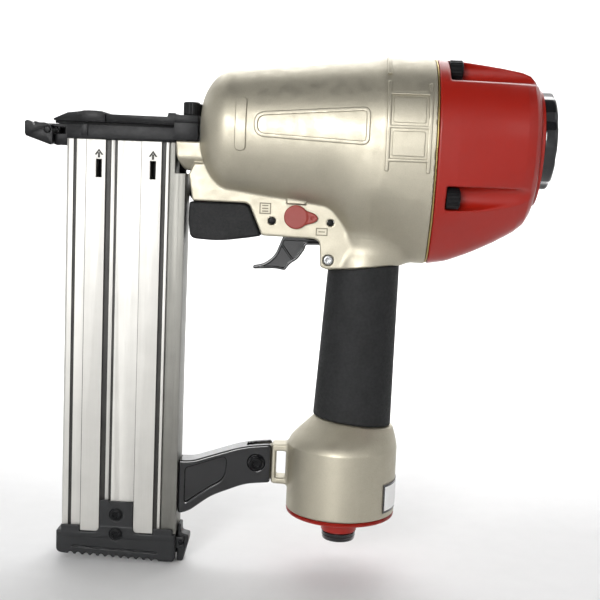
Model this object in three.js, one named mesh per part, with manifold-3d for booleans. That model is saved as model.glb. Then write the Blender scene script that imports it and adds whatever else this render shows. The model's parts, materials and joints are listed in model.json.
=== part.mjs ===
// Pneumatic nail gun for 64 mm T-nails, in millimetres, +Z up.
//
// The origin is the centre of the muzzle face. Nails leave along -X, the grip and the magazine hang
// down along -Z, and the tool's middle plane is Y = 0. The drive axis lies 3 mm above the origin.

import * as THREE from "three";
import { mergeVertices } from "three/addons/utils/BufferGeometryUtils.js";
import Module from "manifold-3d";

const wasm = await Module();
wasm.setup();

// ---------------------------------------------------------------- driving dimensions

const gap = 0.3; // clearance between two pieces that rest on each other
const driveZ = 3; // height of the drive axis
const stroke = 86; // travel of the piston and the blade
const nailLength = 64;

const head = { front: 103, inside: 120, seam: 250, wall: 4.6, radius: 48.9 };
const depth = { barrel: 0.14, seam: 0.68, end: 0.3, from: 183, to: 215 }; // extra depth of the lower half
const cap = { start: head.seam + 1.6, end: 316.5 };
const capBolt = { head: 6.5, shank: 4, clear: 4.3, length: 8.5, seat: 258.5 };
const capBoltPlaces = [[13, 44], [-13, 44], [36.5, -35.3], [-36.5, -35.3]];
const cylinder = { inner: 27, outer: 30, from: head.inside + 0.4, to: 244 };
const exhaust = { radius: 31, from: cap.end + 0.4, to: cap.end + 10 };

const grip = {
  top: { z: -82.5, x: 211.5, halfX: 23.2, halfY: 19.5, slant: 0.12 },
  bottom: { z: -185, x: 208.3, halfX: 25.9, halfY: 20.6, slant: -0.1 },
  rubber: 3,
};
const bell = { x: 203.2, rim: -245.8, radius: 36.7 };
const inlet = { radius: 11.9, plateZ: -248.8, bossZ: -261.5, plugZ: -267.5, bore: 6.5 };

const cheek = 15; // half width of the trigger housing
const chamber = 7; // half width of the space between its cheeks
const pivot = { x: 166.4, z: -51.7, shaft: 2.4, clear: 2.75 };
const valve = { x: 180, body: 5, stem: 2 };
const frontPin = { x: 151, z: -54.9, radius: 2.1 };
const rearPin = { x: 188.6, z: -54.6, radius: 1.9 };
const housingScrew = { x: 188.1, z: -78.6, head: 3.1, shank: 1.5, seat: -12.4 };

const magazine = { left: 17, right: 94.2, top: -7.7, bottom: -267, face: 11, core: 8.5, slot: 2 };
const nailStart = 21; // tips of the nails in the magazine
const nailEnd = nailStart + nailLength + 1.3;
const pusher = { top: -12, bottom: -42, x: 52, spring: 3 };
const windows = [36.3, 71.2]; // left edges of the two sight windows
const tail = { top: magazine.bottom - 0.6, bottom: -284, drop: 2.3, half: 13, teeth: 11, pitch: 5.2 };
const latchPin = { x: 97.5, z: -274, radius: 1.4 };

const footTip = -10;
const armPin = { x: 4.6, z: -2.6, radius: 2 };
const armY = 12.4; // inner face of the contact arm, on the far side of the nose
const noseBolt = { x: 96.8, y: 9, head: 5.2, shank: 3, clear: 3.3 };
const bracketBolt = { x: 146.2, z: -216.4, head: 4.4, shank: 2.5, clear: 2.8 };

// ---------------------------------------------------------------- solids

function solid(geometry) {
  const bare = geometry.index ? geometry.clone() : mergeVertices(geometry);
  bare.deleteAttribute("normal");
  bare.deleteAttribute("uv");
  const welded = mergeVertices(bare, 1e-4);
  const triVerts = Uint32Array.from(welded.index.array);
  const vertProperties = Float32Array.from(welded.attributes.position.array);
  const body = new wasm.Manifold(new wasm.Mesh({ numProp: 3, vertProperties, triVerts }));
  if (body.volume() > 0) return body;
  // A profile listed the other way round gives a body turned inside out.
  for (let i = 0; i < triVerts.length; i += 3) {
    [triVerts[i], triVerts[i + 1]] = [triVerts[i + 1], triVerts[i]];
  }
  return new wasm.Manifold(new wasm.Mesh({ numProp: 3, vertProperties, triVerts }));
}

const join = (...bodies) => bodies.reduce((sum, body) => sum.add(body));
const cut = (body, ...tools) => tools.reduce((rest, tool) => rest.subtract(tool), body);

function geometryOf(body) {
  const { vertProperties, triVerts } = body.getMesh();
  const geometry = new THREE.BufferGeometry();
  geometry.setAttribute("position", new THREE.BufferAttribute(vertProperties, 3));
  geometry.setIndex(new THREE.BufferAttribute(triVerts, 1));
  geometry.computeVertexNormals();
  return geometry;
}

function box(x0, x1, y0, y1, z0, z1) {
  const geometry = new THREE.BoxGeometry(x1 - x0, y1 - y0, z1 - z0);
  geometry.translate((x0 + x1) / 2, (y0 + y1) / 2, (z0 + z1) / 2);
  return solid(geometry);
}

// Turns a geometry whose axis is Y so that the axis is X, Y or Z, then moves that axis to its place.
// a and b are its two fixed coordinates, in the order X, Y, Z.
function lay(geometry, axis, a, b) {
  if (axis === "x") geometry.rotateZ(-Math.PI / 2).translate(0, a, b);
  if (axis === "y") geometry.translate(a, 0, b);
  if (axis === "z") geometry.rotateX(Math.PI / 2).translate(a, b, 0);
  return geometry;
}

function rod(axis, radius, from, to, a, b, sides = 20) {
  const geometry = new THREE.CylinderGeometry(radius, radius, to - from, sides);
  geometry.translate(0, (from + to) / 2, 0);
  return solid(lay(geometry, axis, a, b));
}

// profile lists [place along the axis, radius]
function turned(axis, profile, a, b, sides = 32) {
  const points = profile.map(([along, radius]) => new THREE.Vector2(radius, along));
  return solid(lay(new THREE.LatheGeometry(points, sides), axis, a, b));
}

function ring(axis, inner, outer, from, to, a, b, sides = 28) {
  const profile = [[from, inner], [from, outer], [to, outer], [to, inner], [from, inner]];
  return turned(axis, profile, a, b, sides);
}

// A shape through points [x, y, radius]; a corner with a radius is rounded by a curve.
function outline(points) {
  const shape = new THREE.Shape();
  points.forEach(([x, y, radius = 0], i) => {
    const corner = new THREE.Vector2(x, y);
    const before = new THREE.Vector2(...points.at(i - 1).slice(0, 2));
    const after = new THREE.Vector2(...points[(i + 1) % points.length].slice(0, 2));
    const reach = Math.min(radius, before.distanceTo(corner) * 0.45, after.distanceTo(corner) * 0.45);
    const from = corner.clone().add(before.sub(corner).setLength(reach));
    const to = corner.clone().add(after.sub(corner).setLength(reach));
    if (i === 0) shape.moveTo(from.x, from.y);
    else shape.lineTo(from.x, from.y);
    if (radius > 0) shape.quadraticCurveTo(x, y, to.x, to.y);
  });
  return shape;
}

// An outline in X and Z, from y0 to y1.
function plate(points, y0, y1) {
  const settings = { depth: y1 - y0, bevelEnabled: false, curveSegments: 4 };
  const geometry = new THREE.ExtrudeGeometry(outline(points), settings);
  return solid(geometry.rotateX(Math.PI / 2).translate(0, y1, 0));
}

// A section in X and Y, from z0 to z1.
function extrusion(points, z0, z1) {
  const geometry = new THREE.ExtrudeGeometry(outline(points), { depth: z1 - z0, bevelEnabled: false });
  return solid(geometry.translate(0, 0, z0));
}

class Helix extends THREE.Curve {
  constructor(radius, from, to, turns) {
    super();
    Object.assign(this, { radius, from, to, turns });
  }

  getPoint(t) {
    const angle = 2 * Math.PI * this.turns * t;
    const along = THREE.MathUtils.lerp(this.from, this.to, t);
    return new THREE.Vector3(this.radius * Math.cos(angle), along, this.radius * Math.sin(angle));
  }
}

function coil(axis, radius, wire, from, to, turns, a, b) {
  const steps = [0, 1, 2, 3, 4].map((i) => 0.4 * Math.PI * i);
  const corner = (turn) => new THREE.Vector2(Math.cos(turn), Math.sin(turn)).multiplyScalar(wire / 2);
  const section = new THREE.Shape(steps.map(corner));
  const path = new Helix(radius, from + wire * 0.7, to - wire * 0.7, turns);
  const settings = { extrudePath: path, steps: Math.round(turns * 7) };
  return solid(lay(new THREE.ExtrudeGeometry(section, settings), axis, a, b));
}

// A tapered oval column between two levels {z, x, halfX, halfY, slant}, grown by an offset.
function column(top, bottom, grow = 0, sides = 32) {
  const geometry = new THREE.CylinderGeometry(1, 1, 1, sides).rotateX(Math.PI / 2);
  const place = geometry.attributes.position;
  for (let i = 0; i < place.count; i += 1) {
    const level = place.getZ(i) > 0 ? top : bottom;
    const x = place.getX(i) * (level.halfX + grow);
    place.setXYZ(i, level.x + x, place.getY(i) * (level.halfY + grow), level.z + x * (level.slant ?? 0));
  }
  return solid(geometry);
}

// ---------------------------------------------------------------- the head's egg-shaped sections

// Below the drive axis the head is deeper than it is wide: its depth there is the radius times a
// factor that rises where the chin starts and falls again along the cap.
function dropAt(x) {
  const chin = THREE.MathUtils.smoothstep(x, depth.from, depth.to);
  if (x <= head.seam) return 1 + depth.barrel + (depth.seam - depth.barrel) * chin;
  const beyond = Math.min((x - head.seam) / (cap.end - head.seam), 1);
  return 1 + depth.seam - (depth.seam - depth.end) * beyond ** 1.7;
}

// Under a crease on each side the chin slopes in. Each section is [x, crease y and z, lower y and z];
// the wedge covers what lies outside the slope, which can be moved in by the wall's thickness.
function chinWedge(side, sections, inset = 0) {
  const above = 25;
  const below = 22;
  const corners = sections.flatMap(([x, y, z, lowY, lowZ]) => {
    const run = new THREE.Vector2(lowY - y, lowZ - z).normalize();
    const inward = new THREE.Vector2(run.y, -run.x).multiplyScalar(inset);
    const slope = [[y, z, -above], [lowY, lowZ, below]].map(
      ([py, pz, reach]) => [x, side * (py + inward.x + run.x * reach), pz + inward.y + run.y * reach],
    );
    return [...slope, [x, side * 80, -120]];
  });
  return wasm.Manifold.hull(corners);
}

const waistSection = [213, 39.6, -38.5, 15.4, -64];
const seamSection = [head.seam, 37.6, -50, 16, -77];
const housingCrease = [[185, 37.6, ...waistSection.slice(2)], waistSection];
const rearCrease = [waistSection, seamSection];
const capCrease = [seamSection, [cap.end + 1, 28, -34, 14, -52]];
const wedges = (sections, inset) => [1, -1].map((side) => chinWedge(side, sections, inset));

function egg(profile, sides = 30) {
  const points = profile.map(([along, radius]) => new THREE.Vector2(radius, along));
  const geometry = lay(new THREE.LatheGeometry(points, sides), "x", 0, 0);
  const place = geometry.attributes.position;
  for (let i = 0; i < place.count; i += 1) {
    const depth = place.getZ(i) < 0 ? dropAt(place.getX(i)) : 1;
    place.setZ(i, driveZ + place.getZ(i) * depth);
  }
  return solid(geometry);
}

const headRadii = [
  [106, 23.8], [111, 30], [117, 34.2], [125, 37.2], [145, 39.4], [165, 41.2],
  [185, 43.8], [206, 46.5], [220, 47.7], [235, 48.5], [head.seam, head.radius],
];
const capRadii = [
  [cap.start, 48.8], [264, 48.2], [280, 46.2], [294, 44.4], [cap.end - 9, 42],
  [cap.end - 4, 39.4], [cap.end - 1, 34], [cap.end, 29],
];

const headShell = (grow = 0) => cut(
  egg([[head.front, 0], [head.front, 15 + grow], ...headRadii.map(([x, r]) => [x, r + grow]), [head.seam, 0]]),
  ...wedges(housingCrease),
  ...wedges(rearCrease),
);

// ---------------------------------------------------------------- the scene

const tool = new THREE.Group();

const finish = (color, roughness, metalness) =>
  () => new THREE.MeshStandardMaterial({ color, roughness, metalness });
const champagne = finish(0xb3ae9d, 0.42, 0.45);
const redPaint = finish(0x90201a, 0.25, 0.05);
const redPlastic = finish(0x97483d, 0.55, 0);
const aluminium = finish(0xdddbd4, 0.38, 0.85);
const steel = finish(0x9b9ea2, 0.3, 0.95);
const blackSteel = finish(0x2b2d2f, 0.45, 0.6);
const blackPlastic = finish(0x26282a, 0.5, 0);
const rubber = finish(0x2b2d2c, 0.85, 0);
const brass = finish(0xa98f4e, 0.4, 0.8);

function add(name, body, material) {
  const mesh = new THREE.Mesh(geometryOf(body), material());
  mesh.name = name;
  tool.add(mesh);
}

// A socket cap screw along an axis: the head runs from seat to top, the shank from seat to tip.
function capScrew(axis, a, b, { seat, top, tip, headRadius, shankRadius }) {
  const side = Math.sign(top - seat);
  const between = (p, q) => [Math.min(p, q), Math.max(p, q)];
  const socket = Math.abs(top - seat) * 0.55;
  return cut(
    join(
      rod(axis, headRadius, ...between(seat, top), a, b, 18),
      rod(axis, shankRadius, ...between(seat + side, tip), a, b, 12),
    ),
    rod(axis, headRadius * 0.5, ...between(top - side * socket, top + side), a, b, 6),
  );
}

// ---------------------------------------------------------------- housing

function surfaceReliefs() {
  const deep = 60;
  const badge = [[139, 12.4, 8], [210, 18, 4], [210, -5.2, 4], [139, -2, 8]];
  const inner = badge.map(([x, z, r]) => [x + Math.sign(174 - x) * 2, z - Math.sign(z) * 2, r * 0.8]);
  const frame = cut(plate(badge, -deep, deep), plate(inner, -deep - 1, deep + 1));
  const posts = [221, 246].map((x) => box(x - 1.3, x + 1.3, -deep, deep, -20, 32));
  const rails = [27, 6.5, -13.5].map((z) => box(221, 246, -deep, deep, z - 1.3, z + 1.3));
  const rib = plate([[127, 22, 3], [134, 22, 3], [134, -14, 3], [127, -14, 3]], -deep, deep);
  return headShell(0.9).intersect(join(frame, ...posts, ...rails, rib));
}

function triggerHousing() {
  const side = plate([
    [96.6, -27.4], [99.5, -44], [133.4, -44.2, 2], [136.3, -45.3, 2], [144.8, -64.6], [178.6, -65.2, 3],
    [182, -67], [183.2, -83.2], [188.2, -84.8], [204, -82.8], [214, -60], [205, -30], [150, -20], [100, -20],
  ], -cheek, cheek);
  const leverStop = box(160, 172.5, -cheek - 1.2, -cheek + 1, -43.6, -39);
  return join(side, leverStop);
}

function triggerChamber() {
  return join(
    box(130, 185.8, -chamber, chamber, -58, -44.8),
    box(130, 187.2, -chamber, chamber, -75, -57.9),
  );
}

// The neck joins the nose to the head. Below its flat sides it tapers in like a keel.
const neck = () => join(
  plate([[87.5, -6.3], [122, -6.3], [122, -17.5], [88.5, -17.2]], -14.5, 14.5),
  wasm.Manifold.hull([88.4, 122].flatMap((x) => [-1, 1].flatMap((side) => [
    [x, side * 14.5, -17.2], [x + (x < 100 ? 3 : 0), side * 8, -25],
  ]))),
);

const coreTop = { z: -50, x: 212.3, halfX: 22, halfY: 18, slant: 0 };
const waist = { z: -64, x: 213, halfX: 22.4, halfY: 15.4 };
const shoulder = () => join(
  column({ z: -36, x: 217, halfX: 30, halfY: 30 }, waist),
  column({ ...waist, z: waist.z + 2 }, { ...grip.top, z: grip.top.z + gap }),
);
const coreBottom = {
  ...grip.bottom,
  halfX: grip.bottom.halfX - grip.rubber,
  halfY: grip.bottom.halfY - grip.rubber,
  slant: 0,
};
const gripCore = (grow) => column(coreTop, coreBottom, grow);

// The bell spreads from the grip's oval to a round end.
function endBell() {
  const collar = { ...grip.bottom, z: grip.bottom.z - gap, halfX: 26.2, halfY: 20.9 };
  const bend = { z: -197.5, x: bell.x + 1, halfX: 34.4, halfY: 33.6 };
  const shoulder = { z: -205, x: bell.x, halfX: bell.radius, halfY: bell.radius };
  return join(
    column(collar, bend, 0, 40),
    column(bend, shoulder, 0, 40),
    rod("z", bell.radius, bell.rim, shoulder.z, bell.x, 0, 40),
  );
}

function hangerLug() {
  return cut(
    join(
      plate([[140.8, -225, 4], [158, -228], [158, -205], [140.8, -208, 4]], -4, 4),
      plate([[156.3, -230.3, 2], [172, -230.8], [172, -203.2], [156.3, -203.7, 2]], -6.5, 6.5),
    ),
    box(159.3, 166, -8, 8, -226.4, -208),
    rod("y", bracketBolt.clear, -8, 8, bracketBolt.x, bracketBolt.z, 14),
  );
}

function bodyHousing() {
  const outside = join(
    headShell(), surfaceReliefs(), neck(), triggerHousing(), shoulder(), gripCore(0), endBell(), hangerLug(),
  );
  const insideRadii = headRadii.filter(([x]) => x > head.inside).map(([x, r]) => [x, r - head.wall]);
  const headSpace = cut(
    egg([
      [head.inside, 0], [head.inside, 30.4], ...insideRadii,
      [head.seam + 1, head.radius - head.wall], [head.seam + 1, 0],
    ], 24),
    ...wedges(housingCrease, head.wall),
    ...wedges(rearCrease, head.wall),
  );
  const gripSpace = column(
    { ...coreTop, halfX: 16.5, halfY: 13.5 },
    { ...grip.bottom, halfX: 18.5, halfY: 13.6, slant: 0 },
    0,
    24,
  );
  const bellSpace = turned("z", [
    [-184, 0], [-184, 12], [-206, 31.5], [bell.rim - 1, 32], [bell.rim - 1, 0],
  ], bell.x, 0, 24);
  const boltBosses = capBoltPlaces.map(([y, z]) => rod("x", 7, 224, head.seam, y, z, 8));
  const boltHoles = capBoltPlaces.map(([y, z]) => rod("x", capBolt.clear, 228, head.seam + 1, y, z, 10));
  const noseHoles = [noseBolt.y, -noseBolt.y].map((y) => rod("z", noseBolt.clear, -20, 0, noseBolt.x, y, 14));
  return cut(
    join(cut(outside, headSpace, gripSpace, bellSpace), join(...boltBosses).intersect(headShell())),
    ...boltHoles,
    ...noseHoles,
    rod("x", 3.6, head.front - 2, head.inside + 1, 0, driveZ, 14),
    triggerChamber(),
    rod("z", valve.body + gap, -46, -28, valve.x, 0, 16),
    rod("y", pivot.clear, -cheek - 2, cheek + 1, pivot.x, pivot.z, 16),
    rod("y", frontPin.radius + gap, -cheek - 1, cheek + 1, frontPin.x, frontPin.z, 14),
    rod("y", rearPin.radius + gap, -cheek - 1, cheek + 1, rearPin.x, rearPin.z, 14),
    rod("y", housingScrew.head + gap, -cheek - 1, housingScrew.seat + gap, housingScrew.x, housingScrew.z, 16),
    rod("y", housingScrew.shank + gap, -cheek, 8, housingScrew.x, housingScrew.z, 12),
  );
}
add("body_housing", bodyHousing(), champagne);

add("grip_sleeve", cut(column(grip.top, grip.bottom), gripCore(gap)), rubber);

add("end_plate", cut(
  turned("z", [
    [bell.rim - gap, 0], [bell.rim - gap, bell.radius - 0.4], [inlet.plateZ + 0.8, bell.radius - 0.4],
    [inlet.plateZ, bell.radius - 1.6], [inlet.plateZ, inlet.radius], [inlet.bossZ, inlet.radius],
    [inlet.bossZ, 0],
  ], bell.x, 0, 36),
  rod("z", inlet.bore, inlet.bossZ - 1, bell.rim + 1, bell.x, 0, 16),
), redPaint);

add("inlet_plug", turned("z", [
  [inlet.bossZ + 8, 0], [inlet.bossZ + 8, inlet.bore - 0.4], [inlet.bossZ - gap, inlet.bore - 0.4],
  [inlet.bossZ - gap, 11.2], [inlet.plugZ + 0.8, 11.2], [inlet.plugZ, 10.4], [inlet.plugZ, 0],
], bell.x, 0, 24), blackPlastic);

// ---------------------------------------------------------------- cap, head valve and exhaust

add("cap_gasket", cut(
  egg([
    [head.seam + gap, 38], [head.seam + gap, head.radius - 0.3], [cap.start - gap, head.radius - 0.3],
    [cap.start - gap, 38], [head.seam + gap, 38],
  ]),
  ...wedges(capCrease),
  ...capBoltPlaces.map(([y, z]) => rod("x", capBolt.clear, head.seam, cap.start, y, z, 10)),
), brass);

function cylinderCap() {
  const outside = cut(egg([[cap.start, 0], ...capRadii, [cap.end, 0]]), ...wedges(capCrease));
  const hollow = egg([
    [cap.start - 1, 0], [cap.start - 1, 43.5], [280, 41], [296, 38], [302, 30], [302, 0],
  ], 20);
  const valveBoss = rod("x", 29, cap.start, 303, 0, driveZ, 28);
  const bosses = join(...capBoltPlaces.map(([y, z]) => rod("x", 8.6, cap.start, capBolt.seat + 3, y, z, 8)));
  // A channel runs from each bolt to the cap's end and is open to the side.
  const channel = (radius, end) => ([y, z]) => {
    const outward = [y, y + Math.sign(y) * 40].sort((p, q) => p - q);
    return join(
      rod("x", radius, capBolt.seat, end, y, z, 14),
      box(capBolt.seat, end, ...outward, z - radius, z + radius),
    );
  };
  const floors = capBoltPlaces.map(channel(9.6, cap.end - 8));
  const channels = capBoltPlaces.map(channel(7.4, cap.end + 1));
  const ports = [45, 135, 225, 315].map((angle) => {
    const turn = THREE.MathUtils.degToRad(angle);
    return rod("x", 4.5, 270, cap.end + 1, 14 * Math.cos(turn), driveZ + 14 * Math.sin(turn), 10);
  });
  return cut(
    join(cut(outside, hollow), valveBoss, bosses.intersect(outside), join(...floors).intersect(outside)),
    ...channels,
    ...capBoltPlaces.map(([y, z]) => rod("x", capBolt.clear, cap.start - 1, capBolt.seat + 1, y, z, 10)),
    rod("x", 35.3, cap.start - 1, 256, 0, driveZ, 28),
    rod("x", 24.5, cap.start - 1, 276, 0, driveZ, 24),
    ...ports,
    rod("x", 2.4, cap.end - 14, cap.end + 1, 0, driveZ, 10),
  );
}
add("cylinder_cap", cylinderCap(), redPaint);

capBoltPlaces.forEach(([y, z], i) => add(`cap_bolt_${i + 1}`, capScrew("x", y, z, {
  seat: capBolt.seat + gap,
  top: capBolt.seat + gap + capBolt.length,
  tip: 230,
  headRadius: capBolt.head,
  shankRadius: capBolt.shank,
}), blackSteel));

function exhaustCap() {
  const flutes = [];
  for (let i = 0; i < 8; i += 1) {
    const turn = (i + 0.5) * Math.PI / 4;
    const reach = exhaust.radius + 6.5;
    const [y, z] = [reach * Math.cos(turn), driveZ + reach * Math.sin(turn)];
    flutes.push(rod("x", 8, exhaust.from - 1, exhaust.to + 1, y, z, 14));
  }
  return cut(
    turned("x", [
      [exhaust.from, 0], [exhaust.from, exhaust.radius - 2], [exhaust.from + 2, exhaust.radius],
      [exhaust.to - 2.5, exhaust.radius], [exhaust.to, exhaust.radius - 4], [exhaust.to, 0],
    ], 0, driveZ, 32),
    ...flutes,
    ring("x", 9, 25, exhaust.from - 1, exhaust.to - 3, 0, driveZ, 24),
    rod("x", 7, exhaust.to - 3.2, exhaust.to + 1, 0, driveZ, 16),
    rod("x", 2.5, exhaust.from - 1, exhaust.to, 0, driveZ, 12),
    box(exhaust.from - 1, exhaust.to - 4, 15, 40, driveZ - 7, driveZ + 7),
  );
}
add("exhaust_cap", exhaustCap(), blackPlastic);

add("exhaust_screw", capScrew("x", 0, driveZ, {
  seat: exhaust.to - 2.9,
  top: exhaust.to - 0.3,
  tip: cap.end - 12,
  headRadius: 5.5,
  shankRadius: 2.1,
}), steel);

add("head_valve", turned("x", [
  [244.4, 10], [244.4, 34], [249, 34], [249, 24], [262, 24], [262, 17], [249, 17], [249, 10], [244.4, 10],
], 0, driveZ, 28), blackPlastic);

add("head_valve_spring", coil("x", 20.5, 1.8, 262.4, 275.6, 3.5, 0, driveZ), steel);

// ---------------------------------------------------------------- cylinder and piston

add("cylinder_sleeve", ring("x", cylinder.inner, cylinder.outer, cylinder.from, cylinder.to, 0, driveZ), aluminium);
add("cylinder_collar", ring("x", cylinder.outer + gap, 34.6, 152, 160, 0, driveZ), aluminium);
add("bumper", ring("x", 7, cylinder.inner - 0.4, cylinder.from + 0.2, 140, 0, driveZ), rubber);

const pistonFace = 232;
add("piston", cut(
  turned("x", [
    [224, 0], [224, 6.2], [pistonFace, 6.2], [pistonFace, 26.5], [pistonFace + 4, 26.5],
    [pistonFace + 4, 25], [pistonFace + 7, 25], [pistonFace + 7, 26.5], [244, 26.5], [244, 0],
  ], 0, driveZ, 28),
  box(223, pistonFace - 0.4, -2.4, 2.4, driveZ - 1.2, driveZ + 1.2),
), aluminium);
add("piston_seal", ring("x", 25.2, 26.8, pistonFace + 4.3, pistonFace + 6.7, 0, driveZ), rubber);
add("driver_blade", box(stroke + 0.6, pistonFace - 0.8, -2, 2, driveZ - 0.8, driveZ + 0.8), steel);

// ---------------------------------------------------------------- trigger group

function trigger() {
  const finger = plate([
    [157.6, -66.4], [153.4, -77.6, 3], [146.6, -83.2, 3], [139.2, -84.6, 1], [139.4, -87, 1], [153.6, -86.2],
    [160.3, -87.2], [163.4, -82.6], [168.1, -79.8, 2], [172.6, -73], [173.2, -70], [183.6, -69.6],
    [183.6, -66], [172.4, -65.4], [171.6, pivot.z], [161.2, pivot.z], [160.4, -60],
  ], -6.5, 6.5);
  return cut(
    join(finger, rod("y", 5.2, -6.5, 6.5, pivot.x, pivot.z)),
    rod("y", pivot.clear, -8, 8, pivot.x, pivot.z, 16),
  );
}
add("trigger", trigger(), blackPlastic);

function selectorLever() {
  const near = -cheek - gap;
  const pointer = [
    [0, 5.6], [5, 4.9], [12.5, 2.2, 1.5], [14.5, -0.4, 1.5], [12.5, -2.8, 1.5], [6.3, -4.9], [0, -5.6],
  ].map(([x, z, radius]) => [pivot.x + x, pivot.z + z, radius]);
  return cut(
    join(rod("y", 7.6, near - 3.4, near, pivot.x, pivot.z, 28), plate(pointer, near - 2.6, near)),
    rod("y", pivot.clear, near - 1.8, near + 1, pivot.x, pivot.z, 16),
  );
}
add("selector_lever", selectorLever(), redPlastic);
add("selector_shaft", rod("y", pivot.shaft, -cheek - 1.8, cheek + 2, pivot.x, pivot.z, 16), steel);
add("shaft_clip", ring("y", pivot.clear, 4.6, cheek + gap, cheek + 1.2, pivot.x, pivot.z, 16), steel);

add("trigger_valve_body", cut(
  join(rod("z", valve.body, -56, -33, valve.x, 0, 16), rod("z", 3.2, -33.5, -30, valve.x, 0, 16)),
  rod("z", valve.stem + gap, -57, -29, valve.x, 0, 12),
), brass);
add("trigger_valve_stem", join(
  rod("z", valve.stem, -65, -33, valve.x, 0, 12),
  rod("z", 3.4, -65.3, -63.8, valve.x, 0, 14),
), steel);
add("trigger_spring", coil("z", 2.9, 0.6, -63.4, -56.4, 3, valve.x, 0), steel);

const crossPin = (radius, x, z) => rod("y", radius, 1.8 - cheek, cheek - 1.8, x, z, 14);
add("roll_pin_front", crossPin(frontPin.radius, frontPin.x, frontPin.z), blackSteel);
add("roll_pin_rear", crossPin(rearPin.radius, rearPin.x, rearPin.z), blackSteel);
add("housing_screw", capScrew("y", housingScrew.x, housingScrew.z, {
  seat: housingScrew.seat,
  top: -cheek + 0.3,
  tip: 6,
  headRadius: housingScrew.head,
  shankRadius: housingScrew.shank,
}), steel);

add("front_guard", cut(
  join(
    plate([
      [97.4, -44.7], [132.8, -44.8, 2], [135.6, -46.1, 2], [144, -65], [137.8, -66.3], [117, -69.5],
      [98.4, -68.4, 2], [96.8, -57],
    ], -13, 13),
    box(130, 156, -6.6, 6.6, -60.5, -49),
  ),
  rod("y", frontPin.radius + gap, -8, 8, frontPin.x, frontPin.z, 14),
  box(108, 130, 6, 14, -56, -44),
), rubber);

// ---------------------------------------------------------------- nose

function driverGuide() {
  const tongue = plate([
    [0, -2.2], [0, 1.5], [20, 1.5], [20, -7.2], [16.6, -7.2], [16.6, -12.3], [8.6, -12], [5.2, -2.2],
  ], -6, 6);
  const pinSlot = plate([
    [armPin.x - 2.4, armPin.z - 2.4], [armPin.x - 2.4, armPin.z + 2.4], [armPin.x + 10.4, armPin.z + 2.4],
    [armPin.x + 10.4, armPin.z - 2.4],
  ], -7, 7);
  return cut(
    join(
      tongue.subtract(pinSlot),
      box(17.5, 86.9, -12.5, 12, -7.4, 1.5),
      box(27, 31, -13.8, 0, -5.4, 1.5),
      box(86.6, 101.7, -15, 12, -6, 5),
    ),
    box(nailStart - 0.5, nailEnd, -magazine.slot, magazine.slot, -8, 2),
    box(86, 102, -2.5, 2.5, 1.7, 4.3),
    ...[1, -1].map((side) => rod("z", noseBolt.clear, -7, 6, noseBolt.x, side * noseBolt.y, 14)),
  );
}
add("driver_guide", driverGuide(), blackSteel);

function noseCover() {
  const lid = plate([
    [8.3, 4.6], [17.4, 8.8], [25.3, 9.8], [28, 10.5], [39, 10.4], [44.3, 8.6], [81.5, 8.5], [82.1, 11],
    [86.6, 11], [87.4, 9.8], [101.7, 9.8], [101.7, 5.3], [86.3, 5.3], [86.3, 3.5], [8.3, 3.5],
  ], -11, 11);
  return cut(
    join(
      lid,
      plate([[27, 3.5], [27, 9, 1.5], [30, 10.5, 1.5], [38, 10.5, 2], [42, 8.6, 1], [42, 3.5]], -13.4, 12),
      box(86.9, 101.7, -15, 12, 5.3, 9.8),
      box(8.3, 86.2, -6, 6, 1.8, 4),
    ),
    box(8, 86.9, -2.5, 2.5, 1, 4.3),
    ...[1, -1].map((side) => rod("z", noseBolt.clear, 4, 12, noseBolt.x, side * noseBolt.y, 14)),
  );
}
add("nose_cover", noseCover(), blackSteel);

[1, -1].forEach((side, i) => add(`nose_bolt_${i + 1}`, capScrew("z", noseBolt.x, side * noseBolt.y, {
  seat: 10.1, top: 18.4, tip: -18, headRadius: noseBolt.head, shankRadius: noseBolt.shank,
}), blackSteel));

function contactFoot() {
  const hook = plate([
    [footTip, 2.2, 1], [-8.4, 3.1, 0.8], [-5.6, 1.9], [-4.2, -0.4], [-2.2, 1.6], [2.6, 1.8], [6.6, 0.6],
    [8, -3], [8, -11.4, 1], [6.6, -12.3], [-4.5, -8.6], [-9.2, -7.1], [footTip, -5.5],
  ], -12, 12);
  return cut(
    hook,
    box(footTip - 1, 9, -6.4, 6.4, -2.4, 4),
    box(-3.6, 9, -6.4, 6.4, -13, -2.3),
    rod("y", armPin.radius + gap, -13, 13, armPin.x, armPin.z, 14),
  );
}
add("contact_foot", contactFoot(), blackSteel);

function contactArm() {
  const front = plate([
    [1.6, -6, 1], [1.6, 0.6, 1], [12, 0.6], [16, -1], [80, -1], [80, -6],
  ], armY, armY + 2);
  const joggle = box(78, 80, armY, armY + 5, -6, -1);
  const rear = plate([
    [78, -1], [88, -1], [91, -10], [91, -27], [99, -38], [136, -40, 1], [136, -46, 1], [97, -46], [84, -30],
    [84, -10], [78, -6],
  ], armY + 3, armY + 5);
  return cut(
    join(
      front,
      joggle,
      rear,
      box(88, 90, armY + 3, 26, -18, -10),
      box(112, 120, 8, armY + 4, -47, -45),
    ),
    rod("y", armPin.radius + gap, armY - 1, armY + 3, armPin.x, armPin.z, 14),
  );
}
add("contact_arm", contactArm(), blackSteel);
add("contact_pin", rod("y", armPin.radius, -12.3, armY + 2.4, armPin.x, armPin.z, 14), blackSteel);
add("contact_spring", coil("x", 3, 0.9, 90.4, 106.2, 5, 22, -14), steel);

// ---------------------------------------------------------------- magazine

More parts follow.
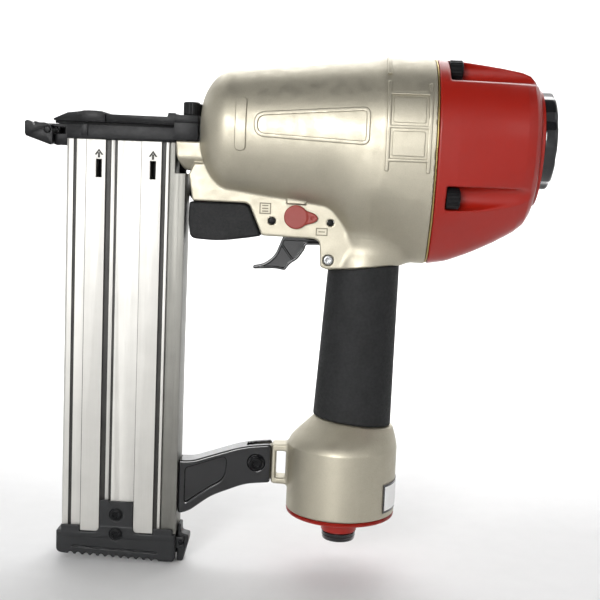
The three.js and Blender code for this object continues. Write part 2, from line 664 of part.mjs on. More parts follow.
function magazineRail() {
  const { left, right, core, slot } = magazine;
  const half = [
    [nailStart, slot], [nailStart, core], [84.5, core], [84.5, 10.8], [90.2, 10.8], [90.2, 11.5],
    [right, 11.5],
  ];
  const section = [
    ...half, ...half.map(([x, y]) => [x, -y]).reverse(), [nailEnd, -slot], [nailEnd, slot],
  ];
  return cut(
    extrusion(section, magazine.bottom, magazine.top),
    rod("z", pusher.spring + 1.2, magazine.bottom - 1, magazine.top + 1, pusher.x, 0, 16),
    box(87.2, right + 1, -13, 13, -27.2, magazine.top + 1),
    ...windows.map((x) => box(x, x + 3.9, -left, 0, -31.8, -20)),
  );
}
add("magazine_rail", magazineRail(), aluminium);

const tailScrewPlaces = [[54.3, -255.4], [54.3, -268.6]];
const tailScrewHoles = () => tailScrewPlaces.map(([x, z]) => rod("y", 2.1, -15, -8, x, z, 12));

function magazineCover() {
  const { left, face } = magazine;
  const profile = [
    [left, 9.4], [left + 1.6, face], [21.6, face], [21.6, face - 1], [23.6, face - 1], [23.6, face],
    [30.1, face], [30.1, face + 1], [42.6, face + 1], [42.6, face - 1], [46, face - 1], [46, face - 0.4],
    [48.5, face - 0.4], [48.5, face - 1], [50, face - 1], [50, face - 0.6], [65.8, face - 0.6],
    [65.8, face + 1], [78.7, face + 1], [78.7, face - 1], [81.4, face - 1], [81.4, face - 0.2],
    [83.2, face - 0.2], [83.2, 8.8], [20.6, 8.8],
  ];
  const section = [...profile, ...profile.map(([x, y]) => [x, -y]).reverse()];
  return cut(
    extrusion(section, magazine.bottom - gap, magazine.top),
    ...windows.map((x) => box(x, x + 3.9, -15, 0, -31.8, -20)),
    ...tailScrewHoles(),
  );
}
add("magazine_cover", magazineCover(), aluminium);

function tailCap() {
  const { top, bottom, drop, half, teeth, pitch } = tail;
  const main = plate([
    [14.2, top, 1], [94, top, 1], [94, bottom - drop, 2], [82, bottom - drop], [24, bottom, 1],
    [14, bottom + 1, 3],
  ], -half, half);
  const tab = box(42.9, 65.5, -12.9, 0.9 - magazine.face - 1, top - 2, -245.4);
  const notches = [];
  for (let i = 0; i <= teeth; i += 1) {
    const x = 24 + i * pitch;
    notches.push(rod("y", 1.7, -half - 1, half + 1, x, bottom - drop * i / teeth, 8));
  }
  const ears = [1, -1].map((side) => box(92, 99.4, side * 6.6 - 1.3, side * 6.6 + 1.3, -278, -270.2));
  return cut(
    join(main, tab, ...ears),
    ...notches,
    ...tailScrewHoles(),
    ...tailScrewPlaces.map(([x, z]) => rod("y", 4.4, -14, -12, x, z, 16)),
    box(90.5, 95, -5.4, 5.4, -290, -276.5),
    rod("y", latchPin.radius + gap, -9, 9, latchPin.x, latchPin.z, 12),
  );
}
add("tail_cap", tailCap(), blackPlastic);

tailScrewPlaces.forEach(([x, z], i) => add(`tail_screw_${i + 1}`, capScrew("y", x, z, {
  seat: -12.3, top: -13.6, tip: -9, headRadius: 3.7, shankRadius: 1.8,
}), blackSteel));

function magazineLatch() {
  const lever = plate([
    [94.7, -262], [97, -262, 0.8], [97.2, -268.5], [102.3, -269.6, 1], [102.3, -273.2], [100.4, -281],
    [98.6, -288, 1.5], [94.6, -288, 1.5], [94.6, -277],
  ], -5, 5);
  return cut(
    lever,
    box(93, 101.4, -2.6, 2.6, -277.6, -270.4),
    rod("y", latchPin.radius + gap, -6, 6, latchPin.x, latchPin.z, 12),
  );
}
add("magazine_latch", magazineLatch(), blackPlastic);
add("latch_pin", rod("y", latchPin.radius, -7.9, 7.9, latchPin.x, latchPin.z, 12), blackSteel);
add("latch_spring", coil("y", 2.3, 0.7, -2.2, 2.2, 4, latchPin.x, latchPin.z), steel);

add("nail_pusher", join(
  plate([[24, pusher.top], [83, pusher.top], [83, pusher.bottom, 3], [24, pusher.bottom, 3]], -1.7, 1.7),
  rod("z", pusher.spring + 0.8, pusher.bottom, pusher.top - 3, pusher.x, 0, 14),
), blackSteel);
add("pusher_spring", coil("z", pusher.spring, 0.9, magazine.bottom, pusher.bottom - gap, 16, pusher.x, 0), steel);

// ---------------------------------------------------------------- magazine bracket

function magazineBracket() {
  const arm = plate([
    [94.5, -217.2], [103.5, -217], [137.5, -205.4], [155.8, -203.4], [155.8, -229.6], [139.4, -231.2],
    [116.8, -240.6], [102.1, -252, 2], [94.5, -254.2],
  ], -8, 8);
  const panel = [[100, -221, 2], [136, -209.5, 2], [136, -227.4, 2], [114.6, -236.6], [100, -248, 2]];
  return cut(
    arm,
    plate(panel, -9, -6.4),
    plate(panel, 6.4, 9),
    box(139.6, 157, -4.3, 4.3, -235, -200),
    rod("y", bracketBolt.clear, -9, 9, bracketBolt.x, bracketBolt.z, 14),
  );
}
add("magazine_bracket", magazineBracket(), blackPlastic);
add("bracket_bolt", capScrew("y", bracketBolt.x, bracketBolt.z, {
  seat: -8.3, top: -11.6, tip: 11.6, headRadius: bracketBolt.head, shankRadius: bracketBolt.shank,
}), blackSteel);
add("bracket_nut", cut(
  rod("y", 4.8, 8.3, 12, bracketBolt.x, bracketBolt.z, 6),
  rod("y", bracketBolt.clear, 8, 13, bracketBolt.x, bracketBolt.z, 12),
), steel);

export default tool;
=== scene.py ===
"""Looks of a pneumatic nail gun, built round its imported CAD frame.

Lengths in this script are millimetres in the frame's own axes and become metres when a mesh is
made. Smooth cast and moulded pieces are surfaces of signed distance fields: a field gives each
point its distance from the surface, negative inside, and two fields join with a rounded fillet.
Pressed, turned and extruded pieces are carried over from the CAD with bevelled edges, or turned
from a profile. The stage, the lamps and the camera's distance are in metres.
"""

import json
import math
from types import SimpleNamespace

import bmesh
import bpy
import numpy as np
from mathutils import Matrix, Vector


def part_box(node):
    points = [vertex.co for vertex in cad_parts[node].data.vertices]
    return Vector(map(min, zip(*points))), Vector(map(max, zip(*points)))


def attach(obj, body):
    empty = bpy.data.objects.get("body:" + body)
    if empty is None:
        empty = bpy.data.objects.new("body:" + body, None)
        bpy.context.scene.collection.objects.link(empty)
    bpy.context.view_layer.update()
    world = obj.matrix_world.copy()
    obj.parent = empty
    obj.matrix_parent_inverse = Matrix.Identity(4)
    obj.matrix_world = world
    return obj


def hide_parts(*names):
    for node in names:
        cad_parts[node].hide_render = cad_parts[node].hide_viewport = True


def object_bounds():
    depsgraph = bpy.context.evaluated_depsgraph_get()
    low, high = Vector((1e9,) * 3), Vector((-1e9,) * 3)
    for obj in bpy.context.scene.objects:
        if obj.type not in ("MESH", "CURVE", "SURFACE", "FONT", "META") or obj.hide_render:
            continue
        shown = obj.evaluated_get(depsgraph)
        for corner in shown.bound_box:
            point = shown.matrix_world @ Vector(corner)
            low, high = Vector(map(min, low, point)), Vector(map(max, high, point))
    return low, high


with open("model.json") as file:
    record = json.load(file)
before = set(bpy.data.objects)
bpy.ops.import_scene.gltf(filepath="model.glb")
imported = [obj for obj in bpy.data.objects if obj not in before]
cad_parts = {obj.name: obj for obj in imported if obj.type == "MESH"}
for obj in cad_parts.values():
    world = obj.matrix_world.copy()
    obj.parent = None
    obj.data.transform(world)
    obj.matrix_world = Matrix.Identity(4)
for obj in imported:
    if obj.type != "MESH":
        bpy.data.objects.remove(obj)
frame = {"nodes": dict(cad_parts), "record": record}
cad_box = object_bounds()

MM = 0.001


def span(node):
    """The box of a CAD node at rest, in millimetres."""
    low, high = (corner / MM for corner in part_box(node))
    return SimpleNamespace(x0=low.x, y0=low.y, z0=low.z, x1=high.x, y1=high.y, z1=high.z)


def middle(node):
    low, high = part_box(node)
    return (low + high) / 2 / MM


# ---------------------------------------------------------------- sizes

GAP = 0.3
DRIVE_Z = middle("piston").z
SEAM = span("cap_gasket").x0 - GAP
CAP_START = span("cylinder_cap").x0
CAP_END = span("cylinder_cap").x1
HEAD_FRONT, HEAD_INSIDE = 103, 120
HEAD_WALL = 4.6
BARREL_DROP, SEAM_DROP, CAP_DROP = 0.14, 0.68, 0.3  # how much deeper than wide the head is
CHIN_FROM, CHIN_TO = 183, 215
RELIEF = 1.25  # how far the beads stand out of the head

GRIP_TOP = SimpleNamespace(z=-82.5, x=211.5, wide=23.2, thick=19.5, slant=0.12)
GRIP_BOTTOM = SimpleNamespace(z=-185, x=208.3, wide=25.9, thick=20.6, slant=-0.1)
RUBBER = 3
BELL_X = middle("end_plate").x
BELL_RIM = span("end_plate").z1 + GAP
BELL_RADIUS = 36.7

PIVOT = middle("selector_shaft")
CHEEK = 15
FRONT_PIN = middle("roll_pin_front")
REAR_PIN = middle("roll_pin_rear")
SCREW = middle("housing_screw")
VALVE = middle("trigger_valve_body")
CAP_BOLTS = [middle(f"cap_bolt_{i}") for i in (1, 2, 3, 4)]


# ---------------------------------------------------------------- signed distance fields


def union(a, b, fillet=0.0):
    """Both solids, with a fillet where they meet."""
    if not fillet:
        return np.minimum(a, b)
    near = np.maximum(fillet - np.abs(a - b), 0)
    return np.minimum(a, b) - near * near / (4 * fillet)


def cut(a, b, edge=0.0):
    """The first solid without the second."""
    return -union(-a, b, edge)


def common(a, b, edge=0.0):
    """What is inside both solids."""
    return -union(-a, -b, edge)


def rounded(flat, deep, edge):
    """A side distance and an end distance as one solid whose edge between them has a radius."""
    side, end = flat + edge, deep + edge
    out = np.sqrt(np.maximum(side, 0) ** 2 + np.maximum(end, 0) ** 2)
    return out + np.minimum(np.maximum(side, end), 0) - edge


def between(v, low, high):
    return np.abs(v - (low + high) / 2) - (high - low) / 2


def block(x, y, z, xs, ys, zs, edge=0.0):
    sides = [between(x, *xs) + edge, between(y, *ys) + edge, between(z, *zs) + edge]
    out = np.sqrt(sum(np.maximum(s, 0) ** 2 for s in sides))
    return out + np.minimum(np.maximum(np.maximum(*sides[:2]), sides[2]), 0) - edge


def arcs(points, steps=5):
    """Points [x, z, radius] as an outline whose corners with a radius are rounded."""
    outline = []
    for i, (x, z, *radius) in enumerate(points):
        corner = Vector((x, z))
        before = Vector(points[i - 1][:2]) - corner
        after = Vector(points[(i + 1) % len(points)][:2]) - corner
        reach = min(radius[0] if radius else 0, before.length * 0.48, after.length * 0.48)
        if reach == 0:
            outline.append(corner)
            continue
        start, end = corner + before.normalized() * reach, corner + after.normalized() * reach
        for step in range(steps + 1):
            t = step / steps
            outline.append(start * (1 - t) ** 2 + corner * 2 * t * (1 - t) + end * t * t)
    return outline


def inside(points, u, v):
    """Signed distance from a closed outline in a plane."""
    outline = arcs(points)
    nearest, within = None, False
    for (ax, ay), (bx, by) in zip(outline, outline[1:] + outline[:1]):
        ex, ey = bx - ax, by - ay
        wu, wv = u - ax, v - ay
        t = np.clip((wu * ex + wv * ey) / (ex * ex + ey * ey), 0, 1)
        away = (wu - ex * t) ** 2 + (wv - ey * t) ** 2
        nearest = away if nearest is None else np.minimum(nearest, away)
        if ey:
            crosses = ((v >= ay) != (v >= by)) & (wu < wv * ex / ey)
            within = within ^ crosses
    return np.where(within, -np.sqrt(nearest), np.sqrt(nearest))


def prism(x, y, z, points, ys, edge=0.0):
    """An outline in x and z, extruded along y."""
    return rounded(inside(points, x, z), between(y, *ys), edge)


def rod(axis, x, y, z, radius, at, ends=None, edge=0.0):
    """A rod along an axis; at gives its two other coordinates in the order x, y, z."""
    along, u, v = {"x": (x, y, z), "y": (y, x, z), "z": (z, x, y)}[axis]
    side = np.sqrt((u - at[0]) ** 2 + (v - at[1]) ** 2) - radius
    return side if ends is None else rounded(side, between(along, *ends), edge)


def oval(x, y, z, top, bottom, grow=0.0, ends=True, edge=0.0):
    """A tapered oval column whose two ends may slant along x."""
    t = np.clip((z - bottom.z) / (top.z - bottom.z), 0, 1)
    u = x - (bottom.x + (top.x - bottom.x) * t)
    wide = bottom.wide + (top.wide - bottom.wide) * t + grow
    thick = bottom.thick + (top.thick - bottom.thick) * t + grow
    reach = np.sqrt((u / wide) ** 2 + (y / thick) ** 2)
    steep = np.sqrt((u / wide**2) ** 2 + (y / thick**2) ** 2)
    side = reach * (reach - 1) / np.maximum(steep, 1e-6)
    if not ends:
        return side
    above = z - top.z - (x - top.x) * top.slant
    below = bottom.z + (x - bottom.x) * bottom.slant - z
    return rounded(side, np.maximum(above, below), edge)


def eased(points, blur):
    """A profile [along, radius] as closely spaced samples with its corners eased."""
    along = np.arange(points[0][0], points[-1][0], 0.25)
    radius = np.interp(along, *zip(*points))
    kernel = np.hanning(int(blur / 0.25) | 1)
    pad = len(kernel) // 2
    smooth = np.convolve(np.pad(radius, pad, "edge"), kernel / kernel.sum(), "valid")
    return along, smooth, np.gradient(smooth, along)


def sculpt(name, field, low, high, step, keep=1.0):
    """The surface where a field is zero, as a closed mesh: one vertex in each grid cell that the
    surface crosses, moved onto the surface, and a quad round each grid edge that it crosses."""
    margin = 2.5 * step
    axes = [np.arange(a - margin, b + margin, step) for a, b in zip(low, high)]
    grid = np.meshgrid(*(a.astype(np.float32) for a in axes), indexing="ij", sparse=True)
    values = np.broadcast_to(field(*grid), [len(a) for a in axes])
    solid = values < 0

    def corner(array, c):
        return array[tuple(slice(i, n - 1 + i) for i, n in zip(c, array.shape))]

    corners = [(i, j, k) for i in (0, 1) for j in (0, 1) for k in (0, 1)]
    filled = sum(corner(solid, c).astype(np.int8) for c in corners)
    crossed = (filled > 0) & (filled < 8)
    index = np.full(crossed.shape, -1, np.int32)
    index[crossed] = np.arange(crossed.sum())
    at = {c: corner(values, c)[crossed] for c in corners}
    total, hits = np.zeros((crossed.sum(), 3)), np.zeros(crossed.sum())
    for c in corners:
        for axis in range(3):
            if c[axis]:
                continue
            other = tuple(1 if i == axis else v for i, v in enumerate(c))
            crosses = (at[c] < 0) != (at[other] < 0)
            share = np.where(crosses, at[c] / np.where(crosses, at[c] - at[other], 1), 0)
            point = np.tile(np.array(c, float), (len(share), 1))
            point[:, axis] += share
            total += point * crosses[:, None]
            hits += crosses
    start = np.array([a[0] for a in axes])
    points = start + (np.argwhere(crossed) + total / hits[:, None]) * step
    for _ in range(3):
        slope = gradient(field, points)
        size = np.maximum((slope**2).sum(1), 0.05)
        move = np.clip(field(*points.T) / size, -step / 2, step / 2)
        points -= slope * move[:, None]
    quads = []
    for axis in range(3):
        u, v = (axis + 1) % 3, (axis + 2) % 3
        turned_index = np.moveaxis(index, (axis, u, v), (0, 1, 2))
        turned_solid = np.moveaxis(solid, (axis, u, v), (0, 1, 2))
        first, second = turned_solid[:-1, 1:-1, 1:-1], turned_solid[1:, 1:-1, 1:-1]
        back, front = slice(None, -1), slice(1, None)
        corners = ((back, back), (front, back), (front, front), (back, front))
        ring = [turned_index[:, i, j] for i, j in corners]
        outward, inward = first & ~second, second & ~first
        quads.append(np.stack([r[outward] for r in ring], 1))
        quads.append(np.stack([r[inward] for r in ring[::-1]], 1))
    faces = np.concatenate(quads)
    mesh = bpy.data.meshes.new(name)
    mesh.vertices.add(len(points))
    mesh.vertices.foreach_set("co", (points * MM).astype(np.float32).ravel())
    mesh.loops.add(faces.size)
    mesh.loops.foreach_set("vertex_index", faces.ravel())
    mesh.polygons.add(len(faces))
    mesh.polygons.foreach_set("loop_start", np.arange(len(faces)) * 4)
    mesh.update(calc_edges=True)
    piece = show(name, mesh)
    if keep < 1:
        thin = piece.modifiers.new("thin", "DECIMATE")
        thin.ratio = keep
        settle(piece)
    mesh = piece.data
    mesh.shade_smooth()
    points = np.empty(len(mesh.vertices) * 3, np.float32)
    mesh.vertices.foreach_get("co", points)
    slope = gradient(field, points.reshape(-1, 3) / MM)
    slope /= np.maximum(np.linalg.norm(slope, axis=1, keepdims=True), 1e-6)
    mesh.normals_split_custom_set_from_vertices(slope.tolist())
    return piece


def gradient(field, points):
    """The field's slope at some points."""
    small = 0.05
    slope = np.empty(points.shape)
    for axis in range(3):
        step = np.zeros(3)
        step[axis] = small
        slope[:, axis] = (field(*(points + step).T) - field(*(points - step).T)) / (2 * small)
    return slope


# ---------------------------------------------------------------- meshes


def show(name, mesh):
    piece = bpy.data.objects.new(name, mesh)
    bpy.context.scene.collection.objects.link(piece)
    return piece


def finished(name, bm):
    """The object of a bmesh that is complete."""
    mesh = bpy.data.meshes.new(name)
    bm.to_mesh(mesh)
    bm.free()
    return show(name, mesh)


def join_rings(bm, rings, sides):
    """Faces between rings of points that follow each other; a ring of one point is a tip."""
    for low, high in zip(rings, rings[1:]):
        for i in range(sides):
            j = (i + 1) % sides
            lows = low[i % len(low)], low[j % len(low)]
            highs = high[j % len(high)], high[i % len(high)]
            unique = list(dict.fromkeys(lows + highs))
            if len(unique) > 2:
                bm.faces.new(unique)


def settle(piece):
    """Applies a piece's modifiers."""
    evaluated = piece.evaluated_get(bpy.context.evaluated_depsgraph_get())
    shaped = bpy.data.meshes.new_from_object(evaluated)
    piece.modifiers.clear()
    piece.data = shaped


def place(piece, body, finish, slot, *nodes):
    """Rides a piece on its body with its finish, in place of some CAD nodes."""
    piece.data.materials.clear()
    piece.data.materials.append(finish)
    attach(piece, body)
    if nodes:
        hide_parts(*nodes)
    return piece


def smooth_by_angle(bm, degrees):
    for face in bm.faces:
        face.smooth = True
    for edge in bm.edges:
        edge.smooth = len(edge.link_faces) == 2 and edge.calc_face_angle(0) < math.radians(degrees)


SHARP, SMOOTH = 32, 30  # degrees from which an edge is bevelled, and below which it is shaded round


def carry(node, bevel, finish=None, bands=(), painted_shade=None):
    """A CAD node's shape with its flat faces whole and its edges bevelled. bands lists the
    stretches of x, from low to high, whose faces get a second, dark finish painted as shade."""
    bm = bmesh.new()
    bm.from_mesh(frame["nodes"][node].data)
    bmesh.ops.remove_doubles(bm, verts=bm.verts, dist=1e-6)
    bmesh.ops.dissolve_limit(bm, angle_limit=math.radians(0.6), verts=bm.verts, edges=bm.edges)
    for x in {edge for band in bands for edge in band}:
        walls = [f for f in bm.faces if abs(f.normal.y) > 0.9]
        edges, corners = (e for f in walls for e in f.edges), (v for f in walls for v in f.verts)
        parts = list(dict.fromkeys((*walls, *edges, *corners)))
        bmesh.ops.bisect_plane(
            bm, geom=parts, plane_co=(x * MM, 0, 0), plane_no=(1, 0, 0), dist=1e-5
        )
    limit = math.radians(SHARP)
    sharp = [e for e in bm.edges if len(e.link_faces) == 2 and e.calc_face_angle(0) > limit]
    bmesh.ops.bevel(
        bm, geom=sharp, offset=bevel * MM, segments=2, profile=0.6, affect="EDGES",
        clamp_overlap=True
    )
    smooth_by_angle(bm, SHARP)
    slot = SLOT_OF[node]
    piece = place(finished(node + "_edged", bm), BODY_OF[node], finish or SLOTS[slot], slot, node)
    # Faces within the bands get the dark colour that is painted as the shade of the grooves.
    if painted_shade:
        piece.data.materials.append(painted_shade)
        for face in piece.data.polygons:
            face.material_index = int(any(low < face.center.x / MM < high for low, high in bands))
    return piece


def marks(name, outlines, y, depth, finish, body, slot):
    """Thin raised shapes on a flat face that looks towards -y."""
    bm = bmesh.new()
    for outline in outlines:
        front, rear = (
            [bm.verts.new(Vector((px, at, pz)) * MM) for px, pz in outline] for at in (y - depth, y)
        )
        bm.faces.new(front)
        bm.faces.new(rear[::-1])
        for i in range(len(outline)):
            bm.faces.new((front[i - 1], front[i], rear[i], rear[i - 1]))
    bmesh.ops.recalc_face_normals(bm, faces=bm.faces)
    return place(finished(name, bm), body, finish, slot)


def turned(name, profile, axis, at, sides=72):
    """A turned piece. profile lists (along, radius) and, where it isn't round, the form."""
    forms = {
        "round": lambda turn: 1.0,
        "hex": lambda turn: 1 / math.cos((turn + math.pi / 6) % (math.pi / 3) - math.pi / 6),
        "knurl": lambda turn: 1 + 0.02 * math.cos(sides / 3 * turn),
        "torx": lambda turn: 1 + 0.14 * math.cos(6 * turn),
    }
    bm = bmesh.new()
    rings = []
    for along, radius, *form in profile:
        ring = []
        for i in range(sides if radius else 1):
            turn = 2 * math.pi * i / sides
            r = radius * forms[form[0] if form else "round"](turn)
            u, v = at[0] + r * math.cos(turn), at[1] + r * math.sin(turn)
            point = {"x": (along, u, v), "y": (u, along, v), "z": (u, v, along)}[axis]
            ring.append(bm.verts.new(Vector(point) * MM))
        rings.append(ring)
    join_rings(bm, rings, sides)
    bmesh.ops.recalc_face_normals(bm, faces=bm.faces)
    smooth_by_angle(bm, SMOOTH)
    return finished(name, bm)


# ---------------------------------------------------------------- materials


def material(name, base, rough, metal=0.0, coat=0.0, vary=0.06, grain=900, bump=0.04,
             stretch=(1, 1, 1), wear=None, blotch=60, speck=0.0, gloss=0.5):
    """A finish from noise in the piece's own coordinates: blotch is the scale of its slow colour
    change, grain that of its fine bump, stretch the direction of a brushed grain, and wear the
    colour that shows through on sharp edges."""
    made = bpy.data.materials.new(name)
    made.use_nodes = True
    nodes, links = made.node_tree.nodes, made.node_tree.links
    shader = nodes["Principled BSDF"]
    shader.inputs["Metallic"].default_value = metal
    shader.inputs["Specular IOR Level"].default_value = gloss
    shader.inputs["Coat Weight"].default_value = coat
    shader.inputs["Coat Roughness"].default_value = 0.06
    where = nodes.new("ShaderNodeTexCoord").outputs["Object"]
    mapping = nodes.new("ShaderNodeMapping")
    mapping.inputs["Scale"].default_value = stretch
    links.new(where, mapping.inputs["Vector"])

    def noise(scale, detail, vector):
        node = nodes.new("ShaderNodeTexNoise")
        node.inputs["Scale"].default_value = scale
        node.inputs["Detail"].default_value = detail
        links.new(vector, node.inputs["Vector"])
        return node.outputs["Fac"]

    def mapped(value, low, high):
        node = nodes.new("ShaderNodeMapRange")
        node.inputs["From Min"].default_value = 0.3
        node.inputs["From Max"].default_value = 0.7
        node.inputs["To Min"].default_value = low
        node.inputs["To Max"].default_value = high
        links.new(value, node.inputs["Value"])
        return node.outputs["Result"]

    def mixed(kind, a, b, factor):
        node = nodes.new("ShaderNodeMix")
        node.data_type = "RGBA"
        node.blend_type = kind
        for socket, value in ((6, a), (7, b), (0, factor)):
            if isinstance(value, bpy.types.NodeSocket):
                links.new(value, node.inputs[socket])
            else:
                node.inputs[socket].default_value = value
        return node.outputs[2]

    slow = noise(blotch, 4, where)
    fine = noise(grain, 3, mapping.outputs["Vector"])
    dark = tuple(c * (1 - vary) for c in base) + (1,)
    light = tuple(min(1, c * (1 + vary)) for c in base) + (1,)
    colour = mixed("MIX", dark, light, mapped(slow, 0, 1))
    grained = mixed("MULTIPLY", colour, (1 - vary,) * 3 + (1,), mapped(fine, 0, 1))
    if speck:
        flakes = nodes.new("ShaderNodeTexVoronoi")
        flakes.inputs["Scale"].default_value = speck
        links.new(where, flakes.inputs["Vector"])
        shine = nodes.new("ShaderNodeSeparateColor")
        links.new(flakes.outputs["Color"], shine.inputs["Color"])
        bright = tuple(min(1, c * 1.35) for c in base) + (1,)
        grained = mixed("MIX", grained, bright, mapped(shine.outputs["Red"], 0, 0.22))
    if wear:
        geometry = nodes.new("ShaderNodeNewGeometry")
        edges = nodes.new("ShaderNodeMapRange")
        edges.inputs["From Min"].default_value = 0.53
        edges.inputs["From Max"].default_value = 0.62
        links.new(geometry.outputs["Pointiness"], edges.inputs["Value"])
        broken = nodes.new("ShaderNodeMath")
        broken.operation = "MULTIPLY"
        links.new(edges.outputs["Result"], broken.inputs[0])
        links.new(mapped(noise(450, 3, where), 0.05, 0.75), broken.inputs[1])
        grained = mixed("MIX", grained, (*wear, 1), broken.outputs[0])
    links.new(grained, shader.inputs["Base Color"])
    links.new(mapped(noise(blotch * 6, 5, mapping.outputs["Vector"]), rough * 0.86, rough * 1.14),
              shader.inputs["Roughness"])
    relief = nodes.new("ShaderNodeBump")
    relief.inputs["Strength"].default_value = bump
    relief.inputs["Distance"].default_value = 0.0004
    links.new(fine, relief.inputs["Height"])
    links.new(relief.outputs["Normal"], shader.inputs["Normal"])
    return made


CHAMPAGNE = material("champagne_paint", (0.43, 0.40, 0.32), 0.5, metal=0.84, vary=0.04, grain=1500,
                     bump=0.10, blotch=25, speck=3500)
RED = material("red_gloss_paint", (0.28, 0.009, 0.0035), 0.34, coat=0.06, vary=0.03, grain=420,
               bump=0.03, blotch=30, gloss=0.4)
RED_PLASTIC = material("red_plastic", (0.25, 0.032, 0.023), 0.5, vary=0.05, grain=1600, bump=0.1)
ALUMINIUM = material("brushed_aluminium", (0.53, 0.52, 0.49), 0.5, metal=0.5, vary=0.04, grain=2600,
                     bump=0.08, stretch=(1, 1, 0.02))
# Darker champagne painted on the raised cast marks as the shade round their edges.
MARK_PAINTED_SHADE = material("mark_painted_shade", (0.16, 0.145, 0.11), 0.5, metal=0.6, vary=0.08, grain=1500,
                     bump=0.1)
RAIL = material("rail_aluminium", (0.19, 0.187, 0.17), 0.5, metal=0.8, vary=0.06, grain=2600,
                bump=0.1, stretch=(1, 1, 0.02))
# Near-black colour painted as the shade in the magazine's grooves and on the sides of its raised
# plates; the printed load arrows use it too.
PAINTED_SHADE_AND_PRINT = material("painted_groove_shade_and_print", (0.035, 0.033, 0.03), 0.55, metal=0.3, vary=0.2, grain=900,
                  bump=0.1, stretch=(1, 1, 0.05))
STEEL = material("zinc_steel", (0.36, 0.365, 0.37), 0.3, metal=0.95, vary=0.08, grain=1800,
                 bump=0.1)
BLACK_STEEL = material("black_oxide_steel", (0.006, 0.0062, 0.0068), 0.36, vary=0.1, grain=1300,
                       bump=0.12, wear=(0.016, 0.016, 0.017), gloss=0.12)
BLACK_PLASTIC = material("black_nylon", (0.010, 0.0105, 0.0115), 0.45, vary=0.12, grain=2200,
                         bump=0.15, gloss=0.35)
GLOSS_BLACK = material("black_gloss_moulding", (0.006, 0.006, 0.007), 0.15, coat=0.4, vary=0.12,
                       grain=500, bump=0.05)
RUBBER_SKIN = material("rubber_skin", (0.012, 0.0125, 0.013), 0.7, vary=0.2, grain=1900, bump=0.4,
                       blotch=90, gloss=0.3)
BRASS = material("brass", (0.47, 0.36, 0.14), 0.35, metal=0.9, vary=0.08, grain=1500, bump=0.1)
LABEL = material("label_film", (0.80, 0.80, 0.79), 0.35, coat=0.3, vary=0.03, grain=900, bump=0.03)
SLOTS = {
    "champagne_paint": CHAMPAGNE, "red_paint": RED, "red_plastic": RED_PLASTIC,
    "aluminium": ALUMINIUM, "steel": STEEL, "black_steel": BLACK_STEEL,
    "black_plastic": BLACK_PLASTIC, "rubber": RUBBER_SKIN, "brass": BRASS,
}
SLOT_OF = {part["node"]: part["material_slot"] for part in frame["record"]["subparts"]}
BODIES = frame["record"]["behaviour"]["bodies"]
BODY_OF = {node: body for body, nodes in BODIES.items() for node in nodes}


# ---------------------------------------------------------------- head, grip and bell casting

DOME_END, DOME_RADIUS, DOME_LENGTH = 125, 37.2, 24
dome = [
    (x, DOME_RADIUS * (1 - ((DOME_END - x) / DOME_LENGTH) ** 2.2) ** 0.5)
    for x in np.arange(DOME_END - DOME_LENGTH, DOME_END, 0.5)
]
HEAD = eased([*dome, (125, 37.2), (145, 39.4), (165, 41.2), (185, 43.6), (207, 45.7), (212, 46.6),
              (218, 48.2), (235, 48.6), (252, 48.9)], 5)
CAP = eased([(250, 48.8), (264, 48.2), (280, 46.4), (294, 44.6), (306, 42.6), (311.5, 40.6),
             (314.8, 37), (316.2, 32.5), (316.4, 28), (316.5, 0)], 1.5)


def drop_at(x):
    """How much farther down than up the head reaches at x."""
    t = np.clip((x - CHIN_FROM) / (CHIN_TO - CHIN_FROM), 0, 1)
    beyond = np.clip((x - SEAM) / (CAP_END - SEAM), 0, 1)
    chin = (SEAM_DROP - BARREL_DROP) * t * t * (3 - 2 * t)
    return 1 + BARREL_DROP + chin - (SEAM_DROP - CAP_DROP) * beyond**1.7


# Below a crease on each side the chin slopes in: x, then y and z of the crease, then those of a
# lower point.
CREASE = [(185, 37.6, -38.5, 15.4, -64), (213, 39.6, -38.5, 15.4, -64), (SEAM, 37.6, -50, 16, -77),
          (CAP_END, 28, -34, 14, -52)]


def chin_slope(x, y, z):
    """Distance outside the chin's two sloping faces."""
    along, *columns = zip(*CREASE)
    top_y, top_z, low_y, low_z = (np.interp(x, along, column) for column in columns)
    run = np.sqrt((low_y - top_y) ** 2 + (low_z - top_z) ** 2)
    across = (np.abs(y) - top_y) * (top_z - low_z) + (z - top_z) * (low_y - top_y)
    return across / run


def egg(x, y, z, profile, grow=0.0):
    """A round section whose lower half is stretched down towards the grip."""
    along, radii, slopes = profile
    drop = drop_at(x)
    up = z - DRIVE_Z
    stretch = np.where(up < 0, drop, 1)
    reach = np.sqrt(y * y + (up / stretch) ** 2)
    steep = np.sqrt(y * y + (up / stretch**2) ** 2)
    lean = np.sqrt(1 + np.interp(x, along, slopes) ** 2)
    side = (reach - np.interp(x, along, radii) - grow) * reach / np.maximum(steep, 0.5)
    return side / lean


def head_shell(x, y, z):
    shell = common(egg(x, y, z, HEAD), HEAD_FRONT - x, 1.5)
    return common(shell, chin_slope(x, y, z), 4)


BADGE = [(139, 12.6, 9), (210, 18.2, 5), (210, -5.4, 5), (139, -2.4, 9)]
LADDER_POSTS = (221, 246)
LADDER_RAILS = (27, 6.5, -13.5)
FRONT_RIB, TOP_POST = (127.2, 134.3), (219.6, 222.4)
BEAD = 1.25  # half width of the raised beads


